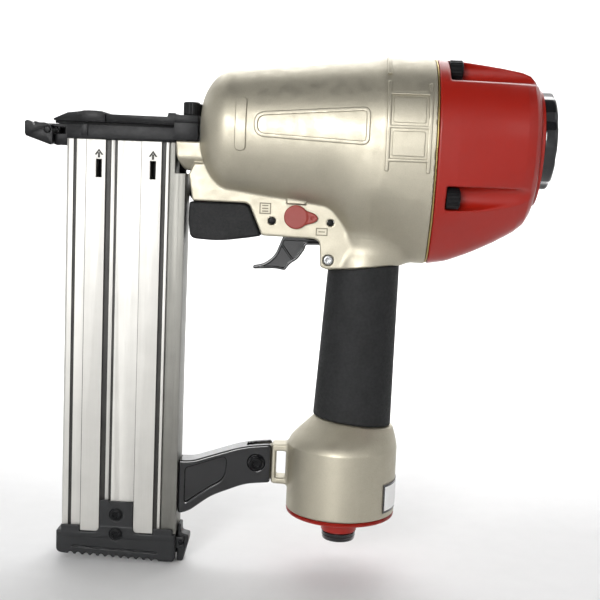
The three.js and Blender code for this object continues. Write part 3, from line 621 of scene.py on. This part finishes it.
def reliefs(x, y, z):
    """The beads and pads cast on both sides of the head."""

    def flat(xs, zs, edge=0.0):
        return block(x, 0, z, xs, (-9, 9), zs, edge)

    bead = np.abs(inside(BADGE, x, z) + BEAD) - BEAD
    for post, ends in zip(LADDER_POSTS, ((-20.5, 34.5), (-21, 33.5))):
        bead = union(bead, flat((post - BEAD, post + BEAD), ends, BEAD * 0.9))
    for rail in LADDER_RAILS:
        bead = union(bead, flat(LADDER_POSTS, (rail - BEAD * 0.8, rail + BEAD * 0.8)))
    bead = union(bead, union(flat(FRONT_RIB, (-11.5, 21.5), 2.8), flat(TOP_POST, (39, 60))))
    first, last = LADDER_POSTS
    panels = np.minimum(*(
        flat((first + 2.6, last - 2.6), (low + 2.4, high - 2.4), 1.2)
        for low, high in zip(LADDER_RAILS[1:], LADDER_RAILS)
    ))
    rooted = -egg(x, y, z, HEAD, -1.2)
    raised = common(egg(x, y, z, HEAD, RELIEF), np.maximum(bead, rooted), 0.7)
    low = common(egg(x, y, z, HEAD, RELIEF * 0.4), np.maximum(panels, rooted), 0.5)
    return union(raised, low, 0.2)


NECK_HALF, KEEL_TOP = 14.5, -17.2
NECK = [(87.6, -6.3, 1), (122, -6.3), (122, -25), (93, -25, 3), (88.4, -17, 3)]
CHEEKS = [
    (96.6, -27.4, 1), (99.5, -44, 1), (133.4, -44.2, 3), (136.3, -45.3, 3), (144.8, -64.6, 1),
    (178.6, -65.2, 4), (182, -67, 3), (183.2, -83.2, 1), (188.2, -84.8), (204, -82.8), (214, -60),
    (205, -30), (150, -20), (100, -20),
]
CHAMBER_HALF = 7
PIVOT_HOLE, FRONT_HOLE, REAR_HOLE = 2.75, 2.4, 2.2
DRIVE_HOLE, VALVE_HOLE = 3.6, 5.3
SCREW_HEAD_HOLE, SCREW_HOLE = 3.5, 1.8
CORE_TOP = SimpleNamespace(z=-50, x=212.3, wide=20.4, thick=16.8, slant=0)
SHOULDER_TOP = SimpleNamespace(z=-36, x=217, wide=29, thick=28, slant=0)
WAIST = SimpleNamespace(z=-64, x=213, wide=22.4, thick=15.4, slant=0)
SHOULDER_END = SimpleNamespace(z=GRIP_TOP.z + GAP, x=GRIP_TOP.x, wide=GRIP_TOP.wide,
                               thick=GRIP_TOP.thick, slant=GRIP_TOP.slant)
CORE_END = SimpleNamespace(z=-190, x=GRIP_BOTTOM.x, wide=GRIP_BOTTOM.wide - RUBBER,
                           thick=GRIP_BOTTOM.thick - RUBBER, slant=0)
BELL_TOP = SimpleNamespace(z=-183.6, x=208.4, wide=25.6, thick=20.3, slant=-0.1)
BELL_BEND = SimpleNamespace(z=-202, x=BELL_X, wide=38.6, thick=38.6, slant=0)
BELL_HOLLOW = [(-9, -188), (12, -188), (31.5, -210), (32.4, BELL_RIM - 9), (-9, BELL_RIM - 9)]
LUG_PLATE = [(140.8, -225, 4), (158, -228), (158, -205), (140.8, -208, 4)]
LUG_FRAME = [(156.3, -230.3, 2), (172, -230.8), (172, -203.2), (156.3, -203.7, 2)]
BRACKET_BOLT, BRACKET_HOLE = middle("bracket_bolt"), 2.8


def bell(x, y, z):
    """Spreads from the grip's oval to a round end."""
    radius = np.sqrt((x - BELL_X) ** 2 + y * y)
    spread = oval(x, y, z, BELL_TOP, BELL_BEND, 0, False)
    collar = z - GRIP_BOTTOM.z + GAP - (x - GRIP_BOTTOM.x) * GRIP_BOTTOM.slant
    shell = common(common(spread, radius - BELL_RADIUS, 5), collar, 0.8)
    shell = common(shell, BELL_RIM - z, 1.2)
    return cut(shell, inside(BELL_HOLLOW, radius, z))


def lug(x, y, z):
    solid = prism(x, y, z, LUG_PLATE, (-4, 4), 0.8)
    solid = union(solid, prism(x, y, z, LUG_FRAME, (-6.5, 6.5), 1.2), 1.5)
    solid = cut(solid, block(x, y, z, (159.3, 166), (-9, 9), (-226.4, -208), 0.8), 0.8)
    return cut(solid, rod("y", x, y, z, BRACKET_HOLE, (BRACKET_BOLT.x, BRACKET_BOLT.z)))


def housing(x, y, z):
    shell = head_shell(x, y, z)
    shell = union(shell, oval(x, y, z, SHOULDER_TOP, WAIST, 0, True, 2), 6)
    shell = union(shell, oval(x, y, z, WAIST, SHOULDER_END, 0, True, 1.2), 9)
    keel = (np.abs(y) - NECK_HALF) * 0.77 - (z - KEEL_TOP) * 0.64
    neck = common(prism(x, y, z, NECK, (-NECK_HALF, NECK_HALF), 1.5), keel, 1.2)
    shell = union(shell, neck, 1.2)
    tab = block(x, y, z, (160, 172.5), (-CHEEK - 1.2, -CHEEK + 3), (-43.6, -39), 0.5)
    shell = union(shell, union(prism(x, y, z, CHEEKS, (-CHEEK, CHEEK), 1.2), tab, 0.4), 1.2)
    shell = union(shell, oval(x, y, z, CORE_TOP, CORE_END, 0, True, 1))
    hollow = np.maximum(egg(x, y, z, HEAD, -HEAD_WALL), chin_slope(x, y, z) + HEAD_WALL)
    shell = cut(shell, np.maximum(hollow, HEAD_INSIDE - x))
    shell = union(shell, bell(x, y, z), 1)
    shell = union(shell, lug(x, y, z), 3)
    shell = np.maximum(shell, x - SEAM)
    wide = (-CHAMBER_HALF, CHAMBER_HALF)
    chamber = union(block(x, y, z, (130, 185.8), wide, (-58, -44.8), 0.5),
                    block(x, y, z, (130, 187.2), wide, (-90, -57.9), 0.5))
    chamber = np.maximum(chamber, -84 - z)
    shell = cut(shell, chamber, 0.8)
    through = (-CHEEK - 2, CHEEK + 2)
    holes = rod("x", x, y, z, DRIVE_HOLE, (0, DRIVE_Z), (HEAD_FRONT - 3, HEAD_INSIDE + 2))
    holes = union(holes, rod("z", x, y, z, VALVE_HOLE, (VALVE.x, VALVE.y), (-58, -28)))
    for radius, at, ends in (
        (PIVOT_HOLE, PIVOT, through), (FRONT_HOLE, FRONT_PIN, through),
        (REAR_HOLE, REAR_PIN, through), (SCREW_HEAD_HOLE, SCREW, (-CHEEK - 2, -12.1)),
        (SCREW_HOLE, SCREW, (-CHEEK, 8)),
    ):
        holes = union(holes, rod("y", x, y, z, radius, (at.x, at.z), ends))
    return cut(shell, holes, 0.5)


body = sculpt("housing_casting", housing, (86, -50, BELL_RIM), (SEAM, 50, 52.5), 1.0, keep=0.4)
place(body, "tool_body", CHAMPAGNE, "champagne_paint", "body_housing")
RELIEF_FROM = 8
RELIEF_TO = cad_box[1].y / MM - 0.05  # no wider than the tool


def side_reliefs(side):
    """The field of the reliefs on one side of the head."""
    return lambda x, y, z: rounded(
        reliefs(x, y, z), between(side * y, RELIEF_FROM, RELIEF_TO), 0.3
    )


for side, name in ((-1, "head_reliefs_near"), (1, "head_reliefs_far")):
    low_y, high_y = sorted((RELIEF_FROM * side, 51 * side))
    raised = sculpt(name, side_reliefs(side), (124, low_y, -24), (SEAM, high_y, 53), 0.55, keep=0.6)
    place(raised, "tool_body", CHAMPAGNE, "champagne_paint")


# ---------------------------------------------------------------- cap

CHANNEL = 7.3
BOLT_SEAT, BOLT_HOLE = 258.5, 4.3
CAP_BORES = ((35.3, 256), (24.5, 276))  # radius and depth of the two steps inside


def cap_casting(x, y, z):
    shell = common(egg(x, y, z, CAP), chin_slope(x, y, z), 4)
    shell = common(shell, CAP_START - x, 1.2)
    for radius, end in CAP_BORES:
        shell = cut(shell, rod("x", x, y, z, radius, (0, DRIVE_Z), (CAP_START - 5, end)))
    shell = cut(shell, rod("x", x, y, z, 2.4, (0, DRIVE_Z), (CAP_END - 14, CAP_END + 5)))
    for bolt in CAP_BOLTS:
        at, run = (bolt.y, bolt.z), (BOLT_SEAT, CAP_END + 9)
        outward = sorted((bolt.y, math.copysign(70, bolt.y)))
        slot = block(x, y, z, run, outward, (bolt.z - CHANNEL, bolt.z + CHANNEL), 1)
        shell = cut(shell, union(rod("x", x, y, z, CHANNEL, at, run, 1), slot), 1.6)
        shell = cut(shell, rod("x", x, y, z, BOLT_HOLE, at, (CAP_START - 5, BOLT_SEAT + 1)))
    return shell


cap = sculpt("cap_casting", cap_casting, (CAP_START, -50, -80), (CAP_END, 50, 52.5), 0.9, keep=0.45)
place(cap, "tool_body", RED, "red_paint", "cylinder_cap")


# ---------------------------------------------------------------- grip


def sleeve(x, y, z):
    shell = oval(x, y, z, GRIP_TOP, GRIP_BOTTOM, 0, True, 1.3)
    core = oval(x, y, z, CORE_TOP, CORE_END, GAP, False)
    return cut(shell, core)


grip = sculpt("grip_rubber", sleeve, (180, -22, -190), (238, 22, -78), 0.9, keep=0.7)
place(grip, "tool_body", RUBBER_SKIN, "rubber", "grip_sleeve")


# ---------------------------------------------------------------- end plate, plug and gasket

PLATE_Z, BOSS_Z = -248.8, -261.5
BOSS_RADIUS, INLET_BORE = 11.9, 6.5
PLUG_END = span("inlet_plug").z0


def quarter(along, radius, size, start, steps=5):
    """Points of a rounded corner round (along, radius), from an angle on for 90 degrees."""
    turns = (math.radians(start + 90 * i / steps) for i in range(steps + 1))
    return [(along + size * math.cos(t), radius + size * math.sin(t)) for t in turns]


end_plate = turned("end_plate_casting", [
    (BELL_RIM - GAP, 0), (BELL_RIM - GAP, BELL_RADIUS - 1),
    (BELL_RIM - GAP - 0.4, BELL_RADIUS - 0.5),
    *reversed(quarter(PLATE_Z + 1.6, BELL_RADIUS - 2.2, 1.6, 90)),
    (PLATE_Z, BOSS_RADIUS + 1.5), (PLATE_Z - 0.5, BOSS_RADIUS + 0.5), (PLATE_Z - 1.5, BOSS_RADIUS),
    (BOSS_Z + 0.6, BOSS_RADIUS), (BOSS_Z, BOSS_RADIUS - 0.6), (BOSS_Z, INLET_BORE),
    (BELL_RIM - 4, INLET_BORE), (BELL_RIM - 4, 0),
], "z", (BELL_X, 0), 96)
place(end_plate, "tool_body", RED, "red_paint", "end_plate")

plug = turned("inlet_dust_plug", [
    (BOSS_Z + 8, 0), (BOSS_Z + 8, 5.6), (BOSS_Z + 7.5, 6.1), (BOSS_Z - GAP, 6.1),
    (BOSS_Z - GAP, 11), (BOSS_Z - 0.7, 11.4), (BOSS_Z - 1.9, 11.4), (BOSS_Z - 2.2, 11),
    (BOSS_Z - 2.6, 11), (BOSS_Z - 2.9, 11.3), (PLUG_END + 1, 11), (PLUG_END + 0.3, 10.6),
    (PLUG_END, 9.9), (PLUG_END, 7), (PLUG_END + 0.5, 6.6), (PLUG_END + 0.5, 0),
], "z", (BELL_X, 0))
place(plug, "tool_body", GLOSS_BLACK, "black_plastic", "inlet_plug")


def gasket_ring(x, y, z):
    outside = np.maximum(egg(x, y, z, CAP, -GAP), chin_slope(x, y, z) + GAP)
    band = np.maximum(outside, -egg(x, y, z, CAP, -9))
    return np.maximum(band, between(x, SEAM + GAP, CAP_START - GAP))


gasket = sculpt("cap_gasket_ring", gasket_ring, (SEAM, -50, -80), (CAP_START, 50, 52.5), 0.7,
                keep=0.5)
place(gasket, "tool_body", BRASS, "brass", "cap_gasket")

# ---------------------------------------------------------------- exhaust knob and bolts

KNOB = span("exhaust_cap")
KNOB_RADIUS = 31
FLUTES, FLUTE = 8, 8


def knob_moulding(x, y, z):
    shell = rod("x", x, y, z, KNOB_RADIUS, (0, DRIVE_Z), (KNOB.x0, KNOB.x1), 2.6)
    for i in range(FLUTES):
        turn = (i + 0.5) * 2 * math.pi / FLUTES
        reach = KNOB_RADIUS + FLUTE - 1.5
        at = (reach * math.cos(turn), DRIVE_Z + reach * math.sin(turn))
        shell = cut(shell, rod("x", x, y, z, FLUTE, at), 2.5)
    face = np.abs(rod("x", x, y, z, 19, (0, DRIVE_Z))) - 1.2
    shell = cut(shell, np.maximum(face, KNOB.x1 - 1 - x), 0.8)
    hollow = np.abs(rod("x", x, y, z, 17, (0, DRIVE_Z))) - 8
    shell = cut(shell, np.maximum(hollow, x - KNOB.x1 + 3))
    shell = cut(shell, rod("x", x, y, z, 7, (0, DRIVE_Z), (KNOB.x1 - 3.2, KNOB.x1 + 5)), 0.8)
    shell = cut(shell, rod("x", x, y, z, 2.5, (0, DRIVE_Z)))
    vent = block(x, y, z, (KNOB.x0 - 9, KNOB.x1 - 4), (15, 40), (DRIVE_Z - 7, DRIVE_Z + 7), 1)
    return cut(shell, vent)


knob = sculpt("exhaust_knob", knob_moulding, (KNOB.x0, -31, -28), (KNOB.x1, 31, 34), 0.6, keep=0.6)
place(knob, "exhaust", GLOSS_BLACK, "black_plastic", "exhaust_cap")


def socket_screw(name, node, axis, seat, radius, shank, form="hex", grip_form="round"):
    """A screw in place of a CAD node; its head starts at seat, along the axis."""
    box, centre = span(node), middle(node)
    at, top, tip = {
        "x": ((centre.y, centre.z), box.x1, box.x0),
        "y": ((centre.x, centre.z), box.y0, box.y1),
        "z": ((centre.x, centre.y), box.z1, box.z0),
    }[axis]
    s = 1 if top > seat else -1
    deep = abs(top - seat) * 0.55
    profile = [
        (tip, 0), (tip, shank - 0.4), (tip + s * 0.4, shank), (seat, shank), (seat, radius - 0.3),
        (seat + s * 0.3, radius, grip_form), (top - s * radius * 0.14, radius, grip_form),
        (top - s * 0.05, radius * 0.84), (top, radius * 0.76), (top, radius * 0.56, form),
        (top - s * 0.3, radius * 0.5, form), (top - s * deep, radius * 0.5, form),
        (top - s * deep * 1.15, 0),
    ]
    piece = turned(name, profile, axis, at)
    return place(piece, BODY_OF[node], SLOTS[SLOT_OF[node]], SLOT_OF[node], node)


for i in (1, 2, 3, 4):
    socket_screw(f"cap_screw_{i}", f"cap_bolt_{i}", "x", BOLT_SEAT + GAP, 6.5, 4, grip_form="knurl")
for i in (1, 2):
    socket_screw(f"nose_screw_{i}", f"nose_bolt_{i}", "z", 10.1, 5.2, 3, grip_form="knurl")
    socket_screw(f"tail_torx_{i}", f"tail_screw_{i}", "y", -12.3, 3.7, 1.8, "torx")
socket_screw("bracket_screw", "bracket_bolt", "y", -8.3, 4.4, 2.5)
socket_screw("cheek_screw", "housing_screw", "y", -12.4, 3.1, 1.5, "torx")
socket_screw("knob_screw", "exhaust_screw", "x", span("exhaust_screw").x1 - 2.6, 5.5, 2.1, "torx")

# ---------------------------------------------------------------- trigger group

TRIGGER = [
    (157.6, -66.4, 6), (153.4, -77.6, 8), (146.6, -83.2, 5), (139.2, -84.6, 1.2), (139.4, -87, 1.2),
    (153.6, -86.2, 2), (160.3, -87.2, 1), (163.4, -82.6, 3), (168.1, -79.8, 3), (172.6, -73, 3),
    (173.2, -70, 1), (183.6, -69.6, 0.8), (183.6, -66, 0.8), (172.4, -65.4, 2), (171.6, PIVOT.z),
    (161.2, PIVOT.z), (160.4, -60),
]
TRIGGER_HALF, TRIGGER_HUB = 6.5, 5.2


def trigger_moulding(x, y, z):
    outline = inside(TRIGGER, x, z)
    finger = rounded(outline, between(y, -TRIGGER_HALF, TRIGGER_HALF), 1.0)
    pocket = np.maximum(outline + 1.7, z + 67.5)
    pocket = np.maximum(pocket, TRIGGER_HALF - 0.9 - np.abs(y))
    rib = np.abs((x - 161.5) * 0.80 + (z + 75.5) * 0.60) - 0.6
    shell = cut(finger, np.maximum(pocket, -rib), 0.5)
    at, wide = (PIVOT.x, PIVOT.z), (-TRIGGER_HALF, TRIGGER_HALF)
    shell = union(shell, rod("y", x, y, z, TRIGGER_HUB, at, wide, 0.6), 1.5)
    return cut(shell, rod("y", x, y, z, PIVOT_HOLE, at), 0.3)


trigger = sculpt("trigger_moulding", trigger_moulding, (138, -7, -88), (184, 7, -46), 0.45,
                 keep=0.6)
place(trigger, "trigger", GLOSS_BLACK, "black_plastic", "trigger")

LEVER = span("selector_lever")
LEVER_HUB = 7.6
POINTER = [
    (0, 5.5), (5, 4.8), (12.5, 2.4, 2), (14.5, -0.4, 1.8), (12.5, -2.9, 2), (6.3, -4.9), (0, -5.5),
]


def lever_moulding(x, y, z):
    at = (PIVOT.x, PIVOT.z)
    hub = rod("y", x, y, z, LEVER_HUB, at, (LEVER.y0, LEVER.y1), 1.1)
    u, v = x - PIVOT.x, z - PIVOT.z
    shell = union(hub, prism(u, y, v, POINTER, (LEVER.y0 + 0.7, LEVER.y1), 1.0), 0.8)
    dimple = np.sqrt((u - 10.6) ** 2 + (v + 0.3) ** 2 + (y - LEVER.y0 + 0.4) ** 2) - 1.6
    shell = cut(shell, dimple, 0.4)
    return cut(shell, rod("y", x, y, z, PIVOT_HOLE, at, (LEVER.y0 + 1.6, LEVER.y1 + 5)))


lever = sculpt("selector_moulding", lever_moulding, (LEVER.x0, LEVER.y0, LEVER.z0),
               (LEVER.x1, LEVER.y1, LEVER.z1), 0.35, keep=0.6)
place(lever, "selector", RED_PLASTIC, "red_plastic", "selector_lever")

GUARD = [(97.4, -44.7, 1.5), (132.8, -44.8, 3), (135.6, -46.1, 3), (144, -65, 1), (137.8, -66.3, 4),
         (117, -69.5, 14), (98.4, -68.4, 4), (96.8, -57, 5)]


def guard_pad(x, y, z):
    pad = prism(x, y, z, GUARD, (-13, 13), 1.8)
    tongue = block(x, y, z, (130, 156), (-6.6, 6.6), (-60.5, -49), 0.8)
    shell = cut(union(pad, tongue), rod("y", x, y, z, FRONT_HOLE, (FRONT_PIN.x, FRONT_PIN.z)))
    return cut(shell, block(x, y, z, (107, 131), (6, 15), (-57, -43), 0.8), 0.6)


guard = sculpt("guard_pad", guard_pad, (96, -13, -70), (157, 13, -44), 0.6, keep=0.6)
place(guard, "tool_body", RUBBER_SKIN, "rubber", "front_guard")

# ---------------------------------------------------------------- magazine end, latch and bracket

TAIL = span("tail_cap")
TAIL_HALF = 13
TAIL_TOP, TAIL_END, TAIL_DROP = -267.6, -284, 2.3
LIP_TOP = TAIL_TOP + 4.3
TEETH, PITCH = 11, 5.2
PLATES = ((29.8, 42.9), (65.5, 79))
TAIL_SCREWS = [middle(f"tail_screw_{i}") for i in (1, 2)]
TAIL_OUTLINE = [
    (TAIL.x0, TAIL_TOP, 1), (TAIL.x0 + 2.6, TAIL_TOP, 1), (94, TAIL_TOP, 1),
    (94, TAIL_END - TAIL_DROP, 2.5), (82, TAIL_END - TAIL_DROP), (24, TAIL_END, 1),
    (TAIL.x0, TAIL_END + 1, 3.5),
]
TAIL_LIP = [
    (17.2, TAIL_TOP - 4), (17.2, LIP_TOP, 1.5), (92.5, LIP_TOP - 0.3, 1.5), (92.5, TAIL_TOP - 4),
]
TAIL_LINE = [(25, -277.6), (25, -278.5), (82, -280.8), (82, -279.9)]
TAB_CORNER = [(49.3, -243), (49.3, -247.2, 0.6), (65, -246.6, 0.6), (66, -243)]
LATCH_PIN = middle("latch_pin")
LATCH_HOLE = 1.7


def tail_moulding(x, y, z):
    main = prism(x, y, z, TAIL_OUTLINE, (-TAIL_HALF, TAIL_HALF), 1.2)
    lip = prism(x, y, z, TAIL_LIP, (-TAIL_HALF, TAIL_HALF), 0.5)
    inner = block(x, y, z, (-9, 200), (-12.15, 12.15), (TAIL_TOP, 0))
    shell = union(main, cut(lip, inner), 0.3)
    for (low, high), (low_radius, high_radius) in zip(PLATES, ((0.5, 5), (5, 0.5))):
        pocket = [(low, TAIL_TOP - 0.2, low_radius), (high, TAIL_TOP - 0.2, high_radius),
                  (high, -240), (low, -240)]
        shell = cut(shell, prism(x, np.abs(y), z, pocket, (12, 20), 0.3), 0.5)
    tab = block(x, y, z, (42.9, 65.5), (-12.9, -11.1), (TAIL_TOP - 3, -245.4), 0.6)
    tab = cut(tab, inside(TAB_CORNER, x, z))
    tab = union(tab, block(x, y, z, (43.4, 65.4), (-12.4, -11.1), (TAIL_TOP, -246.2), 0.4))
    shell = union(shell, tab, 0.4)
    for i in range(TEETH + 1):
        at = (24 + i * PITCH, TAIL_END - TAIL_DROP * i / TEETH)
        shell = cut(shell, rod("y", x, y, z, 1.75, at), 0.7)
    shell = cut(shell, np.maximum(inside(TAIL_LINE, x, z), TAIL_HALF - 0.6 - np.abs(y)), 0.5)
    for screw in TAIL_SCREWS:
        shell = cut(shell, rod("y", x, y, z, 4.4, (screw.x, screw.z), (-14, -12), 0.2), 0.5)
        shell = cut(shell, rod("y", x, y, z, 2.1, (screw.x, screw.z), (-15, -7)))
    for ear in ((-7.9, -5.3), (5.3, 7.9)):
        shell = union(shell, block(x, y, z, (90, 99.4), ear, (-278, -270.2), 0.6))
    shell = cut(shell, block(x, y, z, (90.5, 95), (-5.4, 5.4), (-290, -276.5), 0.4))
    return cut(shell, rod("y", x, y, z, LATCH_HOLE, (LATCH_PIN.x, LATCH_PIN.z), (-9, 9)))


tail_cap = sculpt("tail_moulding", tail_moulding, (TAIL.x0, -TAIL_HALF, TAIL.z0),
                  (TAIL.x1, TAIL_HALF, TAIL.z1), 0.55, keep=0.5)
place(tail_cap, "magazine_slide", BLACK_PLASTIC, "black_plastic", "tail_cap")

LATCH = [
    (94.7, -262, 0.8), (97, -262, 0.8), (97.2, -268.5, 1.5), (102.3, -269.6, 1), (102.3, -273.2, 1),
    (100.4, -281, 4), (98.6, -288, 1.5), (94.6, -288, 1.5), (94.6, -277),
]


def latch_moulding(x, y, z):
    shell = prism(x, y, z, LATCH, (-5, 5), 0.7)
    shell = cut(shell, block(x, y, z, (93, 101.2), (-2.6, 2.6), (-277.6, -270.4), 0.4), 0.3)
    for i in range(4):
        shell = cut(shell, rod("y", x, y, z, 0.7, (101 - i * 0.45, -279.4 - i * 1.9)), 0.4)
    return cut(shell, rod("y", x, y, z, LATCH_HOLE, (LATCH_PIN.x, LATCH_PIN.z)))


latch = sculpt("latch_moulding", latch_moulding, (94, -5.2, -288), (103, 5.2, -261), 0.4, keep=0.6)
place(latch, "latch", BLACK_PLASTIC, "black_plastic", "magazine_latch")

ARM = [
    (94.5, -217.2, 1), (103.5, -217, 4), (137.5, -205.4, 12), (155.8, -203.4, 2),
    (155.8, -229.6, 2), (139.4, -231.2, 6), (116.8, -240.6, 6), (102.1, -252, 5), (94.5, -254.2, 3),
]
ARM_PANEL = [
    (99, -222.5, 2), (126.5, -212.6, 5), (125.5, -228.2, 7), (114.6, -234.4, 6), (99, -246, 2),
]
ARM_HALF = 8


def arm_moulding(x, y, z):
    shell = prism(x, y, z, ARM, (-ARM_HALF, ARM_HALF), 1.4)
    panel = np.maximum(inside(ARM_PANEL, x, z), ARM_HALF - 1.8 - np.abs(y))
    shell = cut(shell, panel, 1.8)
    shell = cut(shell, block(x, y, z, (139.6, 160), (-4.3, 4.3), (-240, -195)))
    at = (BRACKET_BOLT.x, BRACKET_BOLT.z)
    shell = cut(shell, rod("y", x, y, z, 5.6, at, (-12, 0.9 - ARM_HALF), 0.2), 0.8)
    return cut(shell, rod("y", x, y, z, BRACKET_HOLE, at))


arm = sculpt("bracket_arm", arm_moulding, (94, -8.2, -255), (156, 8.2, -203), 0.55, keep=0.6)
place(arm, "tool_body", GLOSS_BLACK, "black_plastic", "magazine_bracket")

# ---------------------------------------------------------------- carried nodes

for name, node in frame["nodes"].items():
    node.data.materials.clear()
    node.data.materials.append(SLOTS[SLOT_OF[name]])
# Stretches of x that hold the magazine's grooves and the sides of its raised plates, whose faces
# are painted dark as shade.
PAINTED_SHADE_BANDS = ((21.5, 23.7), (29.6, 30.1), (42.5, 46.1), (48.4, 50.1), (65.3, 65.8), (78.6, 81.5))
carry("magazine_cover", 0.22, bands=PAINTED_SHADE_BANDS, painted_shade=PAINTED_SHADE_AND_PRINT)
carry("magazine_rail", 0.2, RAIL)
for name, bevel in (
    ("driver_guide", 0.5), ("nose_cover", 0.5), ("contact_foot", 0.5), ("contact_arm", 0.4),
    ("contact_pin", 0.3), ("latch_pin", 0.2), ("bracket_nut", 0.3), ("shaft_clip", 0.15),
    ("selector_shaft", 0.3), ("roll_pin_front", 0.3), ("roll_pin_rear", 0.3),
):
    carry(name, bevel)

# ---------------------------------------------------------------- marks and label

FACE = -12  # outer face of the magazine's two raised plates


def bar(x0, x1, z0, z1):
    return [(x0, z0), (x1, z0), (x1, z1), (x0, z1)]


def framed_bars(x0, x1, z0, z1, bars, line=0.7):
    """A generic mark: a square frame with bars across it."""
    sides = [bar(x0, x1, z0, z0 + line), bar(x0, x1, z1 - line, z1),
             bar(x0, x0 + line, z0 + line, z1 - line), bar(x1 - line, x1, z0 + line, z1 - line)]
    rise = (z1 - z0) / (bars + 1)
    return sides + [bar(x0 + 1.7, x1 - 1.7, z0 + rise * i - line / 2, z0 + rise * i + line / 2)
                    for i in range(1, bars + 1)]


ARROW_HEAD = [(-2.9, -1.2), (0, 2.8), (2.9, -1.2), (1.5, -1.2), (0, 1), (-1.5, -1.2)]
ARROW_STEM = bar(-0.7, 0.7, -3, 0.4)
ARROW_PLACES = ((38.25, -16.2), (73.15, -16.2))
arrows = [[(x + u, z + v) for u, v in shape]
          for x, z in ARROW_PLACES for shape in (ARROW_HEAD, ARROW_STEM)]
cast_signs = framed_bars(142.8, 150.2, -50.6, -43.4, 3) + framed_bars(179.4, 187, -63, -58, 1)
marks("load_arrows", arrows, FACE, 0.06, PAINTED_SHADE_AND_PRINT, "magazine_slide", "aluminium")
# The cast selector marks are painted darker as the shade round their raised edges.
marks("selector_marks", cast_signs, -CHEEK, 0.35, MARK_PAINTED_SHADE, "tool_body", "champagne_paint")


def wrapped(name, radius, thick, turns, zs, finish, slot, steps=14):
    """A film round the bell from one angle to another, measured from -y towards +x."""
    bm = bmesh.new()
    columns = []
    for i in range(steps + 1):
        turn = math.radians(turns[0] + (turns[1] - turns[0]) * i / steps)
        across, away = math.sin(turn), -math.cos(turn)
        outer = radius + thick
        corners = [(radius, zs[0]), (outer, zs[0]), (outer, zs[1]), (radius, zs[1])]
        columns.append([bm.verts.new(Vector((BELL_X + r * across, r * away, z)) * MM)
                        for r, z in corners])
    join_rings(bm, columns, 4)
    bm.faces.new(columns[0])
    bm.faces.new(columns[-1][::-1])
    bmesh.ops.recalc_face_normals(bm, faces=bm.faces)
    smooth_by_angle(bm, SMOOTH)
    place(finished(name, bm), "tool_body", finish, slot)


wrapped("label_border", BELL_RADIUS - 0.05, 0.12, (49, 105), (-241.8, -222.6), GLOSS_BLACK,
        "black_plastic")
wrapped("label_film", BELL_RADIUS + 0.04, 0.08, (51.4, 102.6), (-240.2, -224.2), LABEL, "aluminium")

# ---------------------------------------------------------------- floor, light and camera


def stage_cove(middle_x=0.17, radius=2.2, height=2.6, corner=0.7, sides=96):
    """A round pale floor that curves up into a wall."""
    floor_z = cad_box[0].z
    profile = [(0.0, 0.0)] + [(radius - corner + corner * math.sin(a), corner * (1 - math.cos(a)))
                              for a in np.linspace(0, math.pi / 2, 12)] + [(radius, height)]
    bm = bmesh.new()
    rings = []
    for r, h in profile:
        turns = [2 * math.pi * i / sides for i in range(sides if r else 1)]
        rings.append([bm.verts.new((middle_x + r * math.cos(turn), r * math.sin(turn), floor_z + h))
                      for turn in turns])
    join_rings(bm, rings, sides)
    for face in bm.faces:
        face.smooth = True
    cove = finished("cove", bm)
    paper = material("paper", (0.78, 0.78, 0.78), 0.9, vary=0.01, grain=40, bump=0.0)
    cove.data.materials.append(paper)


def lamp(name, place_at, aim, size, power):
    light = bpy.data.lights.new(name, "AREA")
    light.shape = "SQUARE"
    light.size = size
    light.energy = power
    piece = bpy.data.objects.new(name, light)
    bpy.context.scene.collection.objects.link(piece)
    piece.location = place_at
    piece.rotation_euler = (Vector(aim) - Vector(place_at)).to_track_quat("-Z", "Y").to_euler()


stage_cove()
centre = (cad_box[0] + cad_box[1]) / 2
lamp("key", (centre.x - 0.52, -1.9, centre.z + 0.46), centre, 0.65, 29)
lamp("fill", (centre.x + 0.9, -1.1, centre.z + 0.5), centre, 0.5, 1.0)
lamp("floor", (centre.x, 0.75, centre.z + 0.75), (centre.x, 0.7, cad_box[0].z), 1.0, 9)
lamp("back", (centre.x, 0.75, centre.z + 1.2), (centre.x, 2.2, centre.z + 0.5), 1.2, 40)
world = bpy.data.worlds.new("studio")
world.use_nodes = True
world.node_tree.nodes["Background"].inputs["Color"].default_value = (0.96, 0.97, 1.0, 1)
world.node_tree.nodes["Background"].inputs["Strength"].default_value = 0.1
bpy.context.scene.world = world
bpy.context.scene.view_settings.view_transform = "Standard"

TARGET = Vector((170.77, 0, -106.87)) * MM
DISTANCE = 0.7
LENS, SENSOR = 63.64, 36
AZIMUTH, ELEVATION, ROLL = (math.radians(a) for a in (1.5, 7.0, 2.4))
back = Vector((math.sin(AZIMUTH) * math.cos(ELEVATION), -math.cos(AZIMUTH) * math.cos(ELEVATION),
               math.sin(ELEVATION)))
level = Vector((math.cos(AZIMUTH), math.sin(AZIMUTH), 0))
upright = back.cross(level)
side = level * math.cos(ROLL) + upright * math.sin(ROLL)
camera = bpy.data.objects.new("camera", bpy.data.cameras.new("camera"))
camera.data.lens = LENS
camera.data.sensor_width = SENSOR
camera.data.clip_start = 0.01
camera.matrix_world = Matrix.Translation(TARGET + back * DISTANCE) @ Matrix(
    (side, back.cross(side), back)).transposed().to_4x4()
bpy.context.scene.collection.objects.link(camera)
bpy.context.scene.camera = camera
